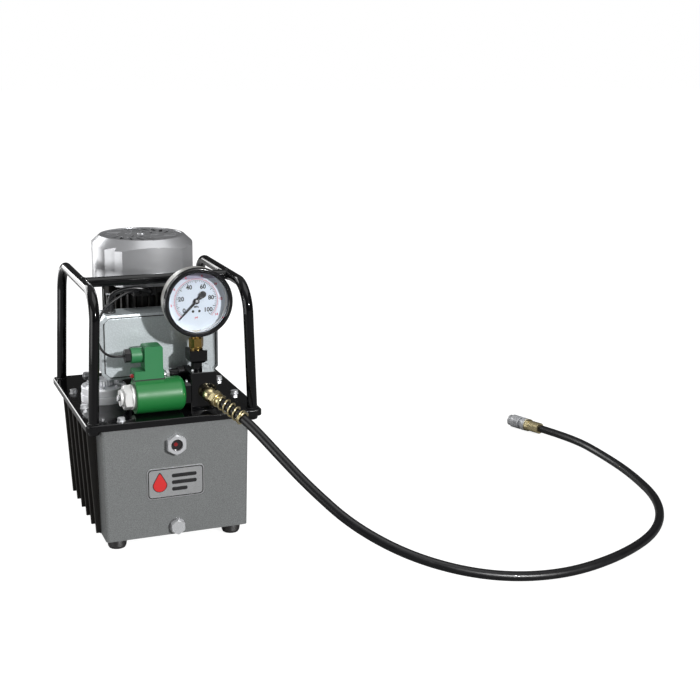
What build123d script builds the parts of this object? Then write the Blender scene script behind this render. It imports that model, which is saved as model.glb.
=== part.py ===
from build123d import *
import math
import os

# Electric hydraulic power unit: an oil tank with side cooling fins, a black top plate, a vertical
# motor with a fan cowl, a control box, a solenoid valve on a manifold block, a pressure gauge,
# two carrying handles joined by a cross bar, and a pressure hose with its coupler.
# Millimetres. X runs right along the front, Y to the back, Z up. The floor is z = 0 and the
# origin is under the middle of the unit without its hose.

# ---- driving dimensions -------------------------------------------------------------------
# tank
MID_Y = 3.0                 # middle of the tank and plate, front to back
TANK_BOTTOM = 18.0
TANK_TOP = 198.0
TANK_HALF_LOW = 114.0       # half width at the bottom, the sides have draft
TANK_HALF_TOP = 117.0
TANK_DEPTH = 291.2
TANK_WALL = 5.0
TANK_FLOOR = 6.0
TANK_CORNER = 5.0
TANK_FRONT = MID_Y - TANK_DEPTH / 2
LEDGE_HALF = 131.5          # side ledges that carry the plate bolts
LEDGE_Z = 190.0
LEDGE_LENGTH = 224.0
FIN_COUNT = 6
FIN_PITCH = 39.5
FIN_THICK = 5.0
FIN_REACH_LOW = 121.0
FIN_REACH_TOP = 131.2
FOOT_X = 93.0
FOOT_Y = 122.0
PORT_X = -2.0               # sight glass and drain plug
SIGHT_Z = 167.7
DRAIN_Z = 31.5
FRONT_PIECES_Y = -152.3     # front of the sight glass nut and the drain plug head
BADGE_Z = 105.0
BADGE_WIDE = 91.0
BADGE_HIGH = 50.0
# plate
GASKET = 1.5
PLATE_TOP = 210.0
PLATE_WIDE = 279.0
PLATE_DEPTH = 298.6
PLATE_LOW = TANK_TOP + GASKET
SIDE_BOLT_X = 123.5
SIDE_BOLT_Y = (43.0, -48.0)
END_BOLT_X = 84.0
END_BOLT_Y = 137.0
M6 = 3.0                    # bolt radii
M8 = 4.0
SLACK = 0.05                # radial room of a bolt in its hole
RUN = 0.05                  # radial room of a shaft in its bearing
# handles
TUBE_R = 8.0
TUBE_BORE = 6.2
HANDLE_X = 126.0
HANDLE_TOP_X = 118.0
HANDLE_Y = 136.5
HANDLE_Z = 409.0
HANDLE_BEND = 45.0
BAR_Y = -38.0
# motor
MOTOR_Y = 60.0
SHIELD_R = 69.0
HOUSING_R = 58.0
MOTOR_FIN_R = 67.0
MOTOR_FINS = 36
HOUSING_LOW = 236.0
HOUSING_TOP = 378.0
STATOR_R = 50.0
AIR_R = 30.0
SHAFT_R = 10.0
COWL_LOW = 392.0
COWL_TOP = 465.5
COWL_R = 86.3
COWL_SHOULDER = 449.5
COWL_TOP_R = 69.0
COWL_WALL = 2.0
PANEL_R = 130.0             # the four wide panels are bowed to this radius
PANEL_OUT = 80.7            # distance of their middles from the motor's axis
NOTCH_OUT = 80.6            # flats beside the corners
LUG_ANGLES = (-57, 57, 123, 237)    # the lugs that hold the cowl
LUG_OUT = 80.0
# control box
BOX_LEFT, BOX_RIGHT = -96.0, 92.0
BOX_LOW, BOX_HIGH = 255.0, 359.0
BOX_FRONT, BOX_REAR = -63.0, -8.0
COVER_DEEP = 6.0
BOX_WALL = 2.0
BOX_CHAMFER = 9.0
GLAND_TOP = (-76.0, -33.0)
GLAND_TOP_END = 371.0
GLAND_REAR = (78.0, 290.0)
MAINS_BORE = 4.5
# oil tubes between the pump and the block
TUBE_X = (38.0, 60.0)       # delivery and return
TUBE_END_Y = -99.0
OIL_TUBE_R = 5.0
# valve and block
BLOCK_X = (30.0, 72.0)
BLOCK_Y = (-121.0, -68.0)
BLOCK_TOP = 272.0
COIL_Y = -106.0
COIL_Z = 238.5
COIL_R = 27.0
COIL_X = (-57.5, 20.8)
COIL_PAD = 28.0             # the flat that carries the plug, above the coil's axis
SEAL_TOP = 30.0
CORE_R = 9.0
PLUNGER_R = 6.0
PIN_R = 2.0
RELIEF_Y, RELIEF_Z = -77.5, 262.0
# gauge
GAUGE_X = 44.5
GAUGE_Z = 383.3
GAUGE_FRONT = -123.0
STEM_Y = -101.0
BEZEL_R = 54.3
BEZEL_DEEP = 10.0
CASE_R = 53.0
CASE_BACK = -89.0
DIAL_R = 46.8
DIAL_Y = -104.0
# filler
FLANGE_X, FLANGE_Y = -83.5, -7.0
FLANGE_R = 36.5
FLANGE_TOP = 234.0
# hose and coupler
HOSE_R = 7.5
ELBOW = (56.0, -132.5, 238.5)
ELBOW_R = 11.5
FERRULE_END = 24.0          # from the elbow's middle to where the hose leaves the ferrule
GUARD_R = 10.0
COUPLER_R = 13.0

# The hose: straight out of the ferrule, down over the plate's edge and round on the floor.
HOSE_ROUTE = [
    (68, -152, 231), (85, -180, 220), (104, -214, 201), (128, -256, 170), (160, -306, 131),
    (208, -366, 84), (284, -423, 45), (386, -464, 19), (505, -473, 7.5), (632, -443, 7.5),
    (748, -377, 7.5), (828, -269, 7.5), (862, -137, 7.5), (872, -32, 7.5), (864, 63, 13),
    (834, 143, 13),
]
# The coil's thin cable, from its plug up behind the left front post to the motor's terminal block.
COIL_CABLE_R = 2.0
COIL_CABLE = [
    (-70, -103, 304), (-80, -103, 304), (-91, -101, 305), (-100, -96, 310), (-106, -90, 321),
    (-107, -83, 337), (-103, -74, 353), (-93, -62, 367), (-79, -54, 377), (-62, -48, 386),
    (-46, -43, 391), (-35, -38, 391), (-28, -31, 388), (-25, -23, 385),
]
# The motor's lead, from the box's top gland to the same terminal block.
MOTOR_CABLE_R = 3.5
MOTOR_CABLE = [
    (-76, -33, 371), (-76, -33, 379), (-69, -33, 388), (-54, -33, 393), (-38, -34, 395),
    (-22, -34, 393), (-13, -31, 389), (-9, -23, 385),
]


# ---- helpers ------------------------------------------------------------------------------
def upright(radius, low, high, x=0.0, y=0.0):
    """A cylinder standing on z = low."""
    return Pos(x, y, (low + high) / 2) * Cylinder(radius, high - low)


def lying_x(radius, x0, x1, y, z):
    """A cylinder along X."""
    return Pos((x0 + x1) / 2, y, z) * Rot(0, 90, 0) * Cylinder(radius, x1 - x0)


def lying_y(radius, y0, y1, x, z):
    """A cylinder along Y."""
    return Pos(x, (y0 + y1) / 2, z) * Rot(90, 0, 0) * Cylinder(radius, y1 - y0)


def block(x0, x1, y0, y1, z0, z1):
    """A box between two corners."""
    return Pos((x0 + x1) / 2, (y0 + y1) / 2, (z0 + z1) / 2) * Box(x1 - x0, y1 - y0, z1 - z0)


def hexagon(across, length):
    """A hexagonal prism on the XY plane, with its chamfered corners at the top."""
    prism = extrude(RegularPolygon(across / 2, 6, major_radius=False), length)
    cap = Cone(across / 2 + length * 1.6, across / 2 * 0.96, length * 1.02, align=(Align.CENTER,
               Align.CENTER, Align.MIN))
    return prism & cap


def facing(point, direction):
    """The placement whose +Z points along direction."""
    return Plane(origin=point, z_dir=direction).location


def bolt(radius, across, head, grip, washer=0.0):
    """A hexagon bolt pointing down from z = 0, with its washer as a solid of its own."""
    screw = Pos(0, 0, washer) * hexagon(across, head) + upright(radius, -grip, washer)
    if not washer:
        return [screw]
    ring = upright(across * 0.62, 0, washer) - upright(radius + SLACK, -1, washer + 1)
    return [screw, ring]


def each_side(piece):
    """The piece and its mirror image in the YZ plane."""
    return [piece, mirror(piece, Plane.YZ)]


def bend_radii(points, share=0.45):
    """For each corner of a route, share of the shorter run over the tangent of half the turn."""
    corners = [Vector(*p) for p in points]
    radii = []
    for before, corner, after in zip(corners, corners[1:], corners[2:]):
        turn = math.radians((corner - before).get_angle(after - corner))
        shorter = min((corner - before).length, (after - corner).length)
        radii.append(share * shorter / math.tan(turn / 2))
    return radii


def cord_path(name, points):
    """Straight runs joined by tangent arcs. Prints the radii and the length."""
    radii = bend_radii(points)
    path = FilletPolyline(*points, radius=radii)
    print(name, "radii", [round(r) for r in radii], "length", round(path.length, 1))
    return path


def tube_along(path, outer, inner=0.0):
    """A round section carried along a path."""
    start = Plane(origin=path @ 0, z_dir=path % 0)
    section = start * Circle(outer)
    if inner:
        section -= start * Circle(inner)
    return sweep(section, path=path)


def save(name, *pieces):
    """Writes the pieces' solids as one node."""
    solids = []
    for piece in pieces:
        for item in piece if isinstance(piece, (list, tuple)) else [piece]:
            solids += item.solids()
    shape = solids[0] if len(solids) == 1 else Compound(children=solids)
    shape.label = name
    export_step(shape, f"parts/{name}.step")


# ---- tank ---------------------------------------------------------------------------------
def tank_shell(inset, low, high):
    """The tank's drafted block, each side moved in by inset."""
    slope = (TANK_HALF_TOP - TANK_HALF_LOW) / (TANK_TOP - TANK_BOTTOM)
    sections = []
    for z in (low, high):
        half = TANK_HALF_LOW + slope * (z - TANK_BOTTOM) - inset
        outline = RectangleRounded(2 * half, TANK_DEPTH - 2 * inset, TANK_CORNER)
        sections.append(Pos(0, MID_Y, z) * outline)
    return loft(sections)


def end_bolt_places():
    return [(x, MID_Y + y) for x in (-END_BOLT_X, END_BOLT_X) for y in (-END_BOLT_Y, END_BOLT_Y)]


def side_bolt_places():
    return [(x, y) for x in (-SIDE_BOLT_X, SIDE_BOLT_X) for y in SIDE_BOLT_Y]


def foot_places():
    return [(x, MID_Y + y) for x in (-FOOT_X, FOOT_X) for y in (-FOOT_Y, FOOT_Y)]


def filler_screw_places():
    turns = [math.radians(60 * i + 12) for i in range(6)]
    return [(FLANGE_X + 28 * math.cos(a), FLANGE_Y + 28 * math.sin(a)) for a in turns]


def handle_places():
    return [(x, MID_Y + y) for x in (-HANDLE_X, HANDLE_X) for y in (-HANDLE_Y, HANDLE_Y)]


def make_tank():
    tank = tank_shell(0, TANK_BOTTOM, TANK_TOP)
    ledge_span = (MID_Y - LEDGE_LENGTH / 2, MID_Y + LEDGE_LENGTH / 2)
    tank += block(-LEDGE_HALF, LEDGE_HALF, *ledge_span, LEDGE_Z, TANK_TOP)
    tank -= tank_shell(TANK_WALL, TANK_BOTTOM + TANK_FLOOR, TANK_TOP)
    inside = tank_shell(TANK_WALL / 2, TANK_BOTTOM, TANK_TOP)
    for x, y in end_bolt_places():
        tank += inside & upright(9, TANK_TOP - 30, TANK_TOP, x, y)
        tank -= upright(M6 + SLACK, TANK_TOP - 22, TANK_TOP, x, y)
    for x, y in side_bolt_places():
        tank -= upright(M6 + SLACK, LEDGE_Z, TANK_TOP, x, y)
    for x, y in foot_places():
        tank += inside & upright(10, TANK_BOTTOM + 1, TANK_BOTTOM + 16, x, y)
        tank -= upright(M8 + SLACK, TANK_BOTTOM, TANK_BOTTOM + 12, x, y)
    tank -= lying_y(13, TANK_FRONT - 1, TANK_FRONT + TANK_WALL + 1, PORT_X, SIGHT_Z)
    tank -= lying_y(8, TANK_FRONT - 1, TANK_FRONT + TANK_WALL + 1, PORT_X, DRAIN_Z)
    save("tank_body", tank)


def make_fins():
    def side(points, thick, y):
        face = Plane.XZ.offset(-y) * Polygon(*points, align=None)
        return extrude(face, thick / 2, both=True)

    slope = (TANK_HALF_TOP - TANK_HALF_LOW) / (TANK_TOP - TANK_BOTTOM)
    wall_top = TANK_HALF_LOW + slope * (LEDGE_Z - TANK_BOTTOM)
    web = 1.5
    skin = [(TANK_HALF_LOW, TANK_BOTTOM), (TANK_HALF_LOW + web, TANK_BOTTOM),
            (wall_top + web, LEDGE_Z), (wall_top, LEDGE_Z)]
    rib = [(TANK_HALF_LOW, TANK_BOTTOM), (FIN_REACH_LOW, TANK_BOTTOM),
           (FIN_REACH_TOP, LEDGE_Z), (wall_top, LEDGE_Z)]
    panel = side(skin, FIN_PITCH * (FIN_COUNT - 1) + 2 * FIN_THICK, MID_Y)
    for i in range(FIN_COUNT):
        y = MID_Y + FIN_PITCH * (i - (FIN_COUNT - 1) / 2)
        fin = side(rib, FIN_THICK, y)
        tip = fin.faces().sort_by(Axis.X)[-1]
        panel += fillet(tip.edges().filter_by(lambda e: e.length > 100), FIN_THICK * 0.3)
    save("tank_fins", each_side(panel))


def make_feet():
    feet = []
    for x, y in foot_places():
        foot = Pos(x, y, TANK_BOTTOM / 2) * Cone(13.5, 16.5, TANK_BOTTOM)
        foot = fillet(foot.edges().sort_by(Axis.Z)[0], 2.5)
        foot -= upright(8.5, 0, 7, x, y) + upright(M8 + SLACK, 0, TANK_BOTTOM, x, y)
        feet.append(foot)
    save("rubber_feet", feet)


def make_tank_fittings():
    stub = 12.9
    nut = facing((PORT_X, TANK_FRONT, SIGHT_Z), (0, -1, 0)) * hexagon(29, TANK_FRONT - FRONT_PIECES_Y)
    nut += lying_y(stub, TANK_FRONT, TANK_FRONT + TANK_WALL + 3, PORT_X, SIGHT_Z)
    nut -= lying_y(9.5, FRONT_PIECES_Y - 1, TANK_FRONT + 1, PORT_X, SIGHT_Z)
    nut -= lying_y(7.5, TANK_FRONT, TANK_FRONT + TANK_WALL + 4, PORT_X, SIGHT_Z)
    save("sight_glass_nut", nut)
    save("sight_glass_lens", lying_y(9.5, TANK_FRONT - 5.5, TANK_FRONT + 1, PORT_X, SIGHT_Z))
    face = TANK_FRONT - 1.5
    head = facing((PORT_X, face, DRAIN_Z), (0, -1, 0)) * hexagon(21, face - FRONT_PIECES_Y)
    save("drain_plug", head + lying_y(7.9, face, TANK_FRONT + TANK_WALL, PORT_X, DRAIN_Z))
    washer = lying_y(13, face, TANK_FRONT, PORT_X, DRAIN_Z)
    save("drain_washer", washer - lying_y(7.9 + SLACK, face - 1, TANK_FRONT + 1, PORT_X, DRAIN_Z))
    badge = extrude(RectangleRounded(BADGE_WIDE, BADGE_HIGH, 6), 1.2)
    save("name_badge", Pos(-3, TANK_FRONT, BADGE_Z) * Rot(90, 0, 0) * badge)


# ---- plate, gasket, bolts -----------------------------------------------------------------
def make_plate():
    rim = RectangleRounded(2 * TANK_HALF_TOP, TANK_DEPTH, TANK_CORNER)
    rim += Rectangle(2 * LEDGE_HALF, LEDGE_LENGTH)
    rim -= RectangleRounded(2 * (TANK_HALF_TOP - TANK_WALL), TANK_DEPTH - 2 * TANK_WALL, TANK_CORNER)
    gasket = Pos(0, MID_Y, TANK_TOP) * extrude(rim, GASKET)
    slab = extrude(RectangleRounded(PLATE_WIDE, PLATE_DEPTH, 9), PLATE_TOP - PLATE_LOW)
    slab = fillet(slab.faces().sort_by(Axis.Z)[-1].edges(), 2.5)
    slab = fillet(slab.faces().sort_by(Axis.Z)[0].edges(), 1.2)
    plate = Pos(0, MID_Y, PLATE_LOW) * slab
    through = (TANK_TOP - 1, PLATE_TOP + 1)
    for x, y in end_bolt_places() + side_bolt_places():
        plate -= upright(M6 + SLACK, *through, x, y)
        gasket -= upright(M6 + SLACK, *through, x, y)
    for x, y in handle_places():
        plate -= upright(M8 + SLACK, *through, x, y)
    plate -= upright(27, *through, 0, MOTOR_Y)
    plate -= upright(20, *through, FLANGE_X, FLANGE_Y)
    for x in TUBE_X:
        plate -= upright(OIL_TUBE_R + SLACK, *through, x, TUBE_END_Y)
    seal = block(-59.5, -10.5, COIL_Y - 14, COIL_Y + 14, COIL_Z + COIL_PAD, COIL_Z + SEAL_TOP)
    save("gaskets", gasket, seal)
    save("top_plate", plate)


def make_frame_bolts():
    """Plate bolts from above, handle and foot bolts from below."""
    bolts = []
    for x, y in end_bolt_places():
        bolts += [Pos(x, y, PLATE_TOP) * b for b in bolt(M6, 10, 4.5, 32, 1.5)]
    for x, y in side_bolt_places():
        bolts += [Pos(x, y, PLATE_TOP) * b for b in bolt(M6, 10, 4.5, 20, 1.5)]
    for x, y in handle_places():
        bolts += [Pos(x, y, PLATE_LOW) * Rot(180, 0, 0) * b for b in bolt(M8, 13, 5.3, 26, 1.6)]
    for x, y in foot_places():
        bolts += [Pos(x, y, 7) * Rot(180, 0, 0) * b for b in bolt(M8, 13, 4.5, 21)]
    for x, y in filler_screw_places():
        bolts += [Pos(x, y, FLANGE_TOP) * b for b in bolt(2.5, 8, 3.5, 18)]
    for angle in LUG_ANGLES:
        lug = Pos(0, MOTOR_Y, HOUSING_TOP + 1) * Rot(0, 0, angle) * Pos(0, -LUG_OUT, 0)
        bolts += [lug * Rot(180, 0, 0) * b for b in bolt(2, 7, 3, 20)]
    save("bolts_and_screws", bolts)


# ---- handles ------------------------------------------------------------------------------
def handle_points(side):
    y0, y1 = MID_Y - HANDLE_Y, MID_Y + HANDLE_Y
    drop = 6.0
    foot_x = HANDLE_X + drop * (HANDLE_X - HANDLE_TOP_X) / (HANDLE_Z - PLATE_TOP)
    return [(side * foot_x, y0, PLATE_TOP - drop), (side * HANDLE_TOP_X, y0, HANDLE_Z),
            (side * HANDLE_TOP_X, y1, HANDLE_Z), (side * foot_x, y1, PLATE_TOP - drop)]


def make_handles():
    outers = []
    for side, name in ((-1, "left_handle"), (1, "right_handle")):
        path = FilletPolyline(*handle_points(side), radius=HANDLE_BEND)
        outer = tube_along(path, TUBE_R)
        handle = tube_along(path, TUBE_R, TUBE_BORE)
        keep = block(-200, 200, -300, 300, PLATE_TOP, 600)
        for x, y in handle_places():
            if x * side > 0:
                handle += upright(TUBE_BORE + 0.4, PLATE_TOP, PLATE_TOP + 18, x - side * 0.3, y)
        handle = handle & keep
        for x, y in handle_places():
            handle -= upright(M8 + SLACK, PLATE_TOP - 1, PLATE_TOP + 15.5, x, y)
        save(name, handle)
        outers.append(outer)
    bar = lying_x(TUBE_R, -HANDLE_TOP_X, HANDLE_TOP_X, BAR_Y, HANDLE_Z)
    bar -= lying_x(TUBE_BORE, -HANDLE_TOP_X, HANDLE_TOP_X, BAR_Y, HANDLE_Z)
    for outer in outers:
        bar -= outer
    save("cross_bar", bar.solids().sort_by(SortBy.VOLUME)[-1])


# ---- motor --------------------------------------------------------------------------------
def make_motor():
    axis = (0, MOTOR_Y)
    lower = upright(SHIELD_R, PLATE_TOP, PLATE_TOP + 10, *axis)
    lower += upright(62, PLATE_TOP, HOUSING_LOW, *axis)
    lower -= upright(27, PLATE_TOP, PLATE_TOP + 16, *axis) + upright(23.5, 226, 238, *axis)
    lower -= upright(12, PLATE_TOP, 240, *axis)
    upper = upright(62, HOUSING_TOP, COWL_LOW, *axis)
    for angle in LUG_ANGLES:
        lug = block(-4.5, 4.5, -83, -58, HOUSING_TOP + 1, COWL_LOW)
        lug -= upright(2 + SLACK, HOUSING_TOP, COWL_LOW, 0, -LUG_OUT)
        upper += Pos(*axis, 0) * Rot(0, 0, angle) * lug
    upper -= upright(23.5, HOUSING_TOP, COWL_LOW - 3, *axis) + upright(12, HOUSING_TOP, COWL_LOW, *axis)
    save("end_shields", lower, upper)

    section = Circle(HOUSING_R)
    for i in range(MOTOR_FINS):
        section += Rot(0, 0, 360 / MOTOR_FINS * (i + 0.5)) * Pos(MOTOR_FIN_R - 6, 0) * Rectangle(12, 2.6)
    housing = extrude(section, HOUSING_TOP - HOUSING_LOW)
    housing = Pos(*axis, HOUSING_LOW) * housing
    housing += block(-34, 34, BOX_REAR, 20, 268, 346)
    housing -= upright(STATOR_R, HOUSING_LOW, HOUSING_TOP, *axis)
    save("motor_housing", housing)
    save("stator_core", upright(STATOR_R, 262, 352, *axis) - upright(AIR_R, 262, 352, *axis))
    ends = []
    for low in (246, 352):
        coil = upright(47, low, low + 16, *axis) - upright(33, low, low + 16, *axis)
        ends.append(fillet(coil.edges().filter_by(GeomType.CIRCLE), 4))
    save("stator_windings", ends)
    races = []
    for low, high in ((226, 236), (HOUSING_TOP, 389)):
        races.append(upright(23.5, low, high, *axis) - upright(SHAFT_R + RUN, low, high, *axis))
    save("motor_bearings", races)

    save("rotor_shaft", upright(SHAFT_R, 208, 440, *axis))
    core = upright(AIR_R - 0.5, 264, 350, *axis) - upright(SHAFT_R, 264, 350, *axis)
    save("rotor_core", core)
    fan = upright(16, 402, 426, *axis) + upright(66, 402, 404.5, *axis)
    for i in range(7):
        blade = block(12, 66, -1.2, 1.2, 403, 438)
        fan += Pos(*axis, 0) * Rot(0, 0, 360 / 7 * i) * blade
    fan -= upright(SHAFT_R, 400, 442, *axis)
    save("cooling_fan", fan)


def cowl_solid(inset):
    """The cowl's outer form about the Z axis, moved in by inset."""
    r, top_r, high = COWL_R - inset, COWL_TOP_R - inset, COWL_TOP - inset
    outline = Polyline((0, COWL_LOW), (r, COWL_LOW), (r, COWL_SHOULDER), (top_r, high), (0, high),
                       close=True)
    form = revolve(Plane.XZ * make_face(outline), Axis.Z)
    rims = form.edges().filter_by(GeomType.CIRCLE).sort_by(Axis.Z)
    form = fillet([e for e in rims if e.radius > 20 and e.center().Z > COWL_LOW + 5], 3.0)
    shift = PANEL_R - PANEL_OUT
    for x, y in ((0, shift), (0, -shift), (shift, 0), (-shift, 0)):
        form = form & upright(PANEL_R - inset, COWL_LOW, COWL_TOP, x, y)
    for side in (-1, 1):
        for end in (0, 180):
            wedge = Rot(0, 0, 36) * block(-60, 60, -140, -(NOTCH_OUT - inset), COWL_LOW, COWL_TOP)
            start = Rot(0, 0, 43 - inset / 2) * block(0, 90, -140, 0, COWL_LOW, COWL_TOP)
            stop = Rot(0, 0, 62) * block(-90, 0, -140, 0, COWL_LOW, COWL_TOP)
            notch = wedge & start & stop
            if side < 0:
                notch = mirror(notch, Plane.YZ)
            form -= Rot(0, 0, end) * notch
    return form


def make_cowl():
    cowl = cowl_solid(0) - cowl_solid(COWL_WALL)
    top = (COWL_TOP - COWL_WALL - 1, COWL_TOP + 1)
    cowl -= upright(COWL_TOP_R - 3.5, COWL_TOP - 0.8, COWL_TOP + 1)
    slot = extrude(SlotOverall(27, 5.5), 6)
    small = extrude(SlotOverall(15, 4.2), 6)
    for i in range(20):
        cowl -= Rot(0, 0, 18 * i) * Pos(48, 0, top[0]) * Rot(0, 0, 38) * slot
    for i in range(10):
        cowl -= Rot(0, 0, 36 * i) * Pos(23, 0, top[0]) * Rot(0, 0, 38) * small
    for angle in LUG_ANGLES:
        tab = block(-5, 5, -84, -76.5, COWL_LOW, COWL_LOW + 8)
        tab = tab & cowl_solid(0.5).moved(Rot(0, 0, -angle))
        tab -= upright(2 + SLACK, COWL_LOW - 1, COWL_LOW + 9, 0, -LUG_OUT)
        cowl += Rot(0, 0, angle) * tab
    save("fan_cowl", Pos(0, MOTOR_Y, 0) * cowl)


# ---- pump under the plate -----------------------------------------------------------------
def make_pump():
    axis = (0, MOTOR_Y)
    body = upright(58, PLATE_LOW - 10, PLATE_LOW, *axis) + upright(46, 112, PLATE_LOW, *axis)
    body += block(28, 48, 15, 60, 155, 175)
    body -= upright(25, 122, PLATE_LOW, *axis) + upright(8 + RUN, 112, 124, *axis)
    plungers = []
    for i in range(3):
        turn = Pos(0, MOTOR_Y, 142) * Rot(0, 0, 90 + 120 * i)
        body -= turn * lying_x(6, 20, 43, 0, 0)
        plungers.append(turn * (lying_x(5.95, 17.6, 40, 0, 0) - lying_x(3.5, 30, 41, 0, 0)))
    save("pump_body", body)
    save("pump_plungers", plungers)
    drive = upright(17, 186, 222, *axis) - upright(SHAFT_R, 208, 223, *axis)
    drive += upright(8, 113, 187, *axis) + upright(14, 135, 149, 3, MOTOR_Y)
    save("drive_coupling", drive)
    strainer = upright(22, 42, 102, *axis) - upright(20, 44, 100, *axis)
    strainer += upright(11, 102, 112, *axis)
    strainer -= upright(8, 90, 112, *axis)
    save("suction_strainer", strainer)
    y = TUBE_END_Y
    delivery = tube_along(FilletPolyline((TUBE_X[0], 15, 165), (TUBE_X[0], y, 165),
                                         (TUBE_X[0], y, PLATE_TOP), radius=22), OIL_TUBE_R, 3.5)
    back = upright(OIL_TUBE_R, 60, PLATE_TOP, TUBE_X[1], y) - upright(3.5, 60, PLATE_TOP, TUBE_X[1], y)
    save("oil_tubes", delivery, back)


# ---- control box --------------------------------------------------------------------------
def box_prism(inset, y0, y1):
    """The box's outline with its four chamfered corners, from y0 back to y1."""
    wide, high = BOX_RIGHT - BOX_LEFT - 2 * inset, BOX_HIGH - BOX_LOW - 2 * inset
    outline = chamfer(Rectangle(wide, high).vertices(), BOX_CHAMFER - inset * 0.4)
    middle = ((BOX_LEFT + BOX_RIGHT) / 2, y1, (BOX_LOW + BOX_HIGH) / 2)
    return extrude(Plane(origin=middle, x_dir=(1, 0, 0), z_dir=(0, -1, 0)) * outline, y1 - y0)


def make_control_box():
    seam = BOX_FRONT + COVER_DEEP
    cover = box_prism(0, BOX_FRONT, seam)
    front = cover.faces().sort_by(Axis.Y)[0]
    cover = chamfer(front.edges(), 2.6, 6.0)
    cover -= box_prism(BOX_WALL + 5, BOX_FRONT + BOX_WALL, seam)
    body = box_prism(1.5, seam, BOX_REAR) - box_prism(1.5 + BOX_WALL, seam, BOX_REAR - BOX_WALL)
    body -= upright(8, BOX_HIGH - 5, BOX_HIGH + 1, *GLAND_TOP)
    body -= lying_y(8, BOX_REAR - 5, BOX_REAR + 1, *GLAND_REAR)
    body -= block(-20, 20, BOX_REAR - 5, BOX_REAR + 1, 285, 325)
    save("control_box_body", body)
    save("control_box_cover", cover)
    x = -45
    capacitor = lying_x(17, x - 40, x + 35, -35, 285)
    contactor = block(24, 66, -52, BOX_REAR - BOX_WALL, 280, 335) - block(34, 56, -53, -44, 295, 320)
    rail = block(-60, 20, -16, BOX_REAR - BOX_WALL, 318, 330)
    save("box_electrics", capacitor, contactor, rail)


def cable_entry(route, radius):
    """The collar that a cable's end butts against, in line with its last run."""
    last = Vector(*route[-1])
    return facing(last, last - Vector(*route[-2])) * upright(radius + 1.4, 0, 9)


def make_glands():
    x, y = GLAND_TOP
    top = BOX_HIGH - 1.5
    lead = Pos(x, y, top) * hexagon(17, 5.5) + upright(6.5, top, GLAND_TOP_END, x, y)
    lead += upright(7.9, top - BOX_WALL - 3, top, x, y)
    x, z = GLAND_REAR
    mains = facing((x, BOX_REAR, z), (0, 1, 0)) * hexagon(22, 8)
    mains += lying_y(9, BOX_REAR, BOX_REAR + 18, x, z) + lying_y(7.9, BOX_REAR - 5, BOX_REAR, x, z)
    mains -= lying_y(MAINS_BORE, BOX_REAR - 6, BOX_REAR + 19, x, z)
    terminal = block(-34, 2, -20, 4, HOUSING_TOP + 0.2, COWL_LOW - 2)
    terminal = fillet(terminal.edges().filter_by(Axis.Z).sort_by(Axis.Y)[:2], 3)
    terminal -= upright(62, 370, 395, 0, MOTOR_Y)
    terminal += cable_entry(COIL_CABLE, COIL_CABLE_R) + cable_entry(MOTOR_CABLE, MOTOR_CABLE_R)
    tail = facing(COIL_CABLE[0], (-1, 0, 0)) * Pos(0, 0, -9) * hexagon(19, 9)
    save("cable_glands", lead, mains, terminal, tail)


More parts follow.
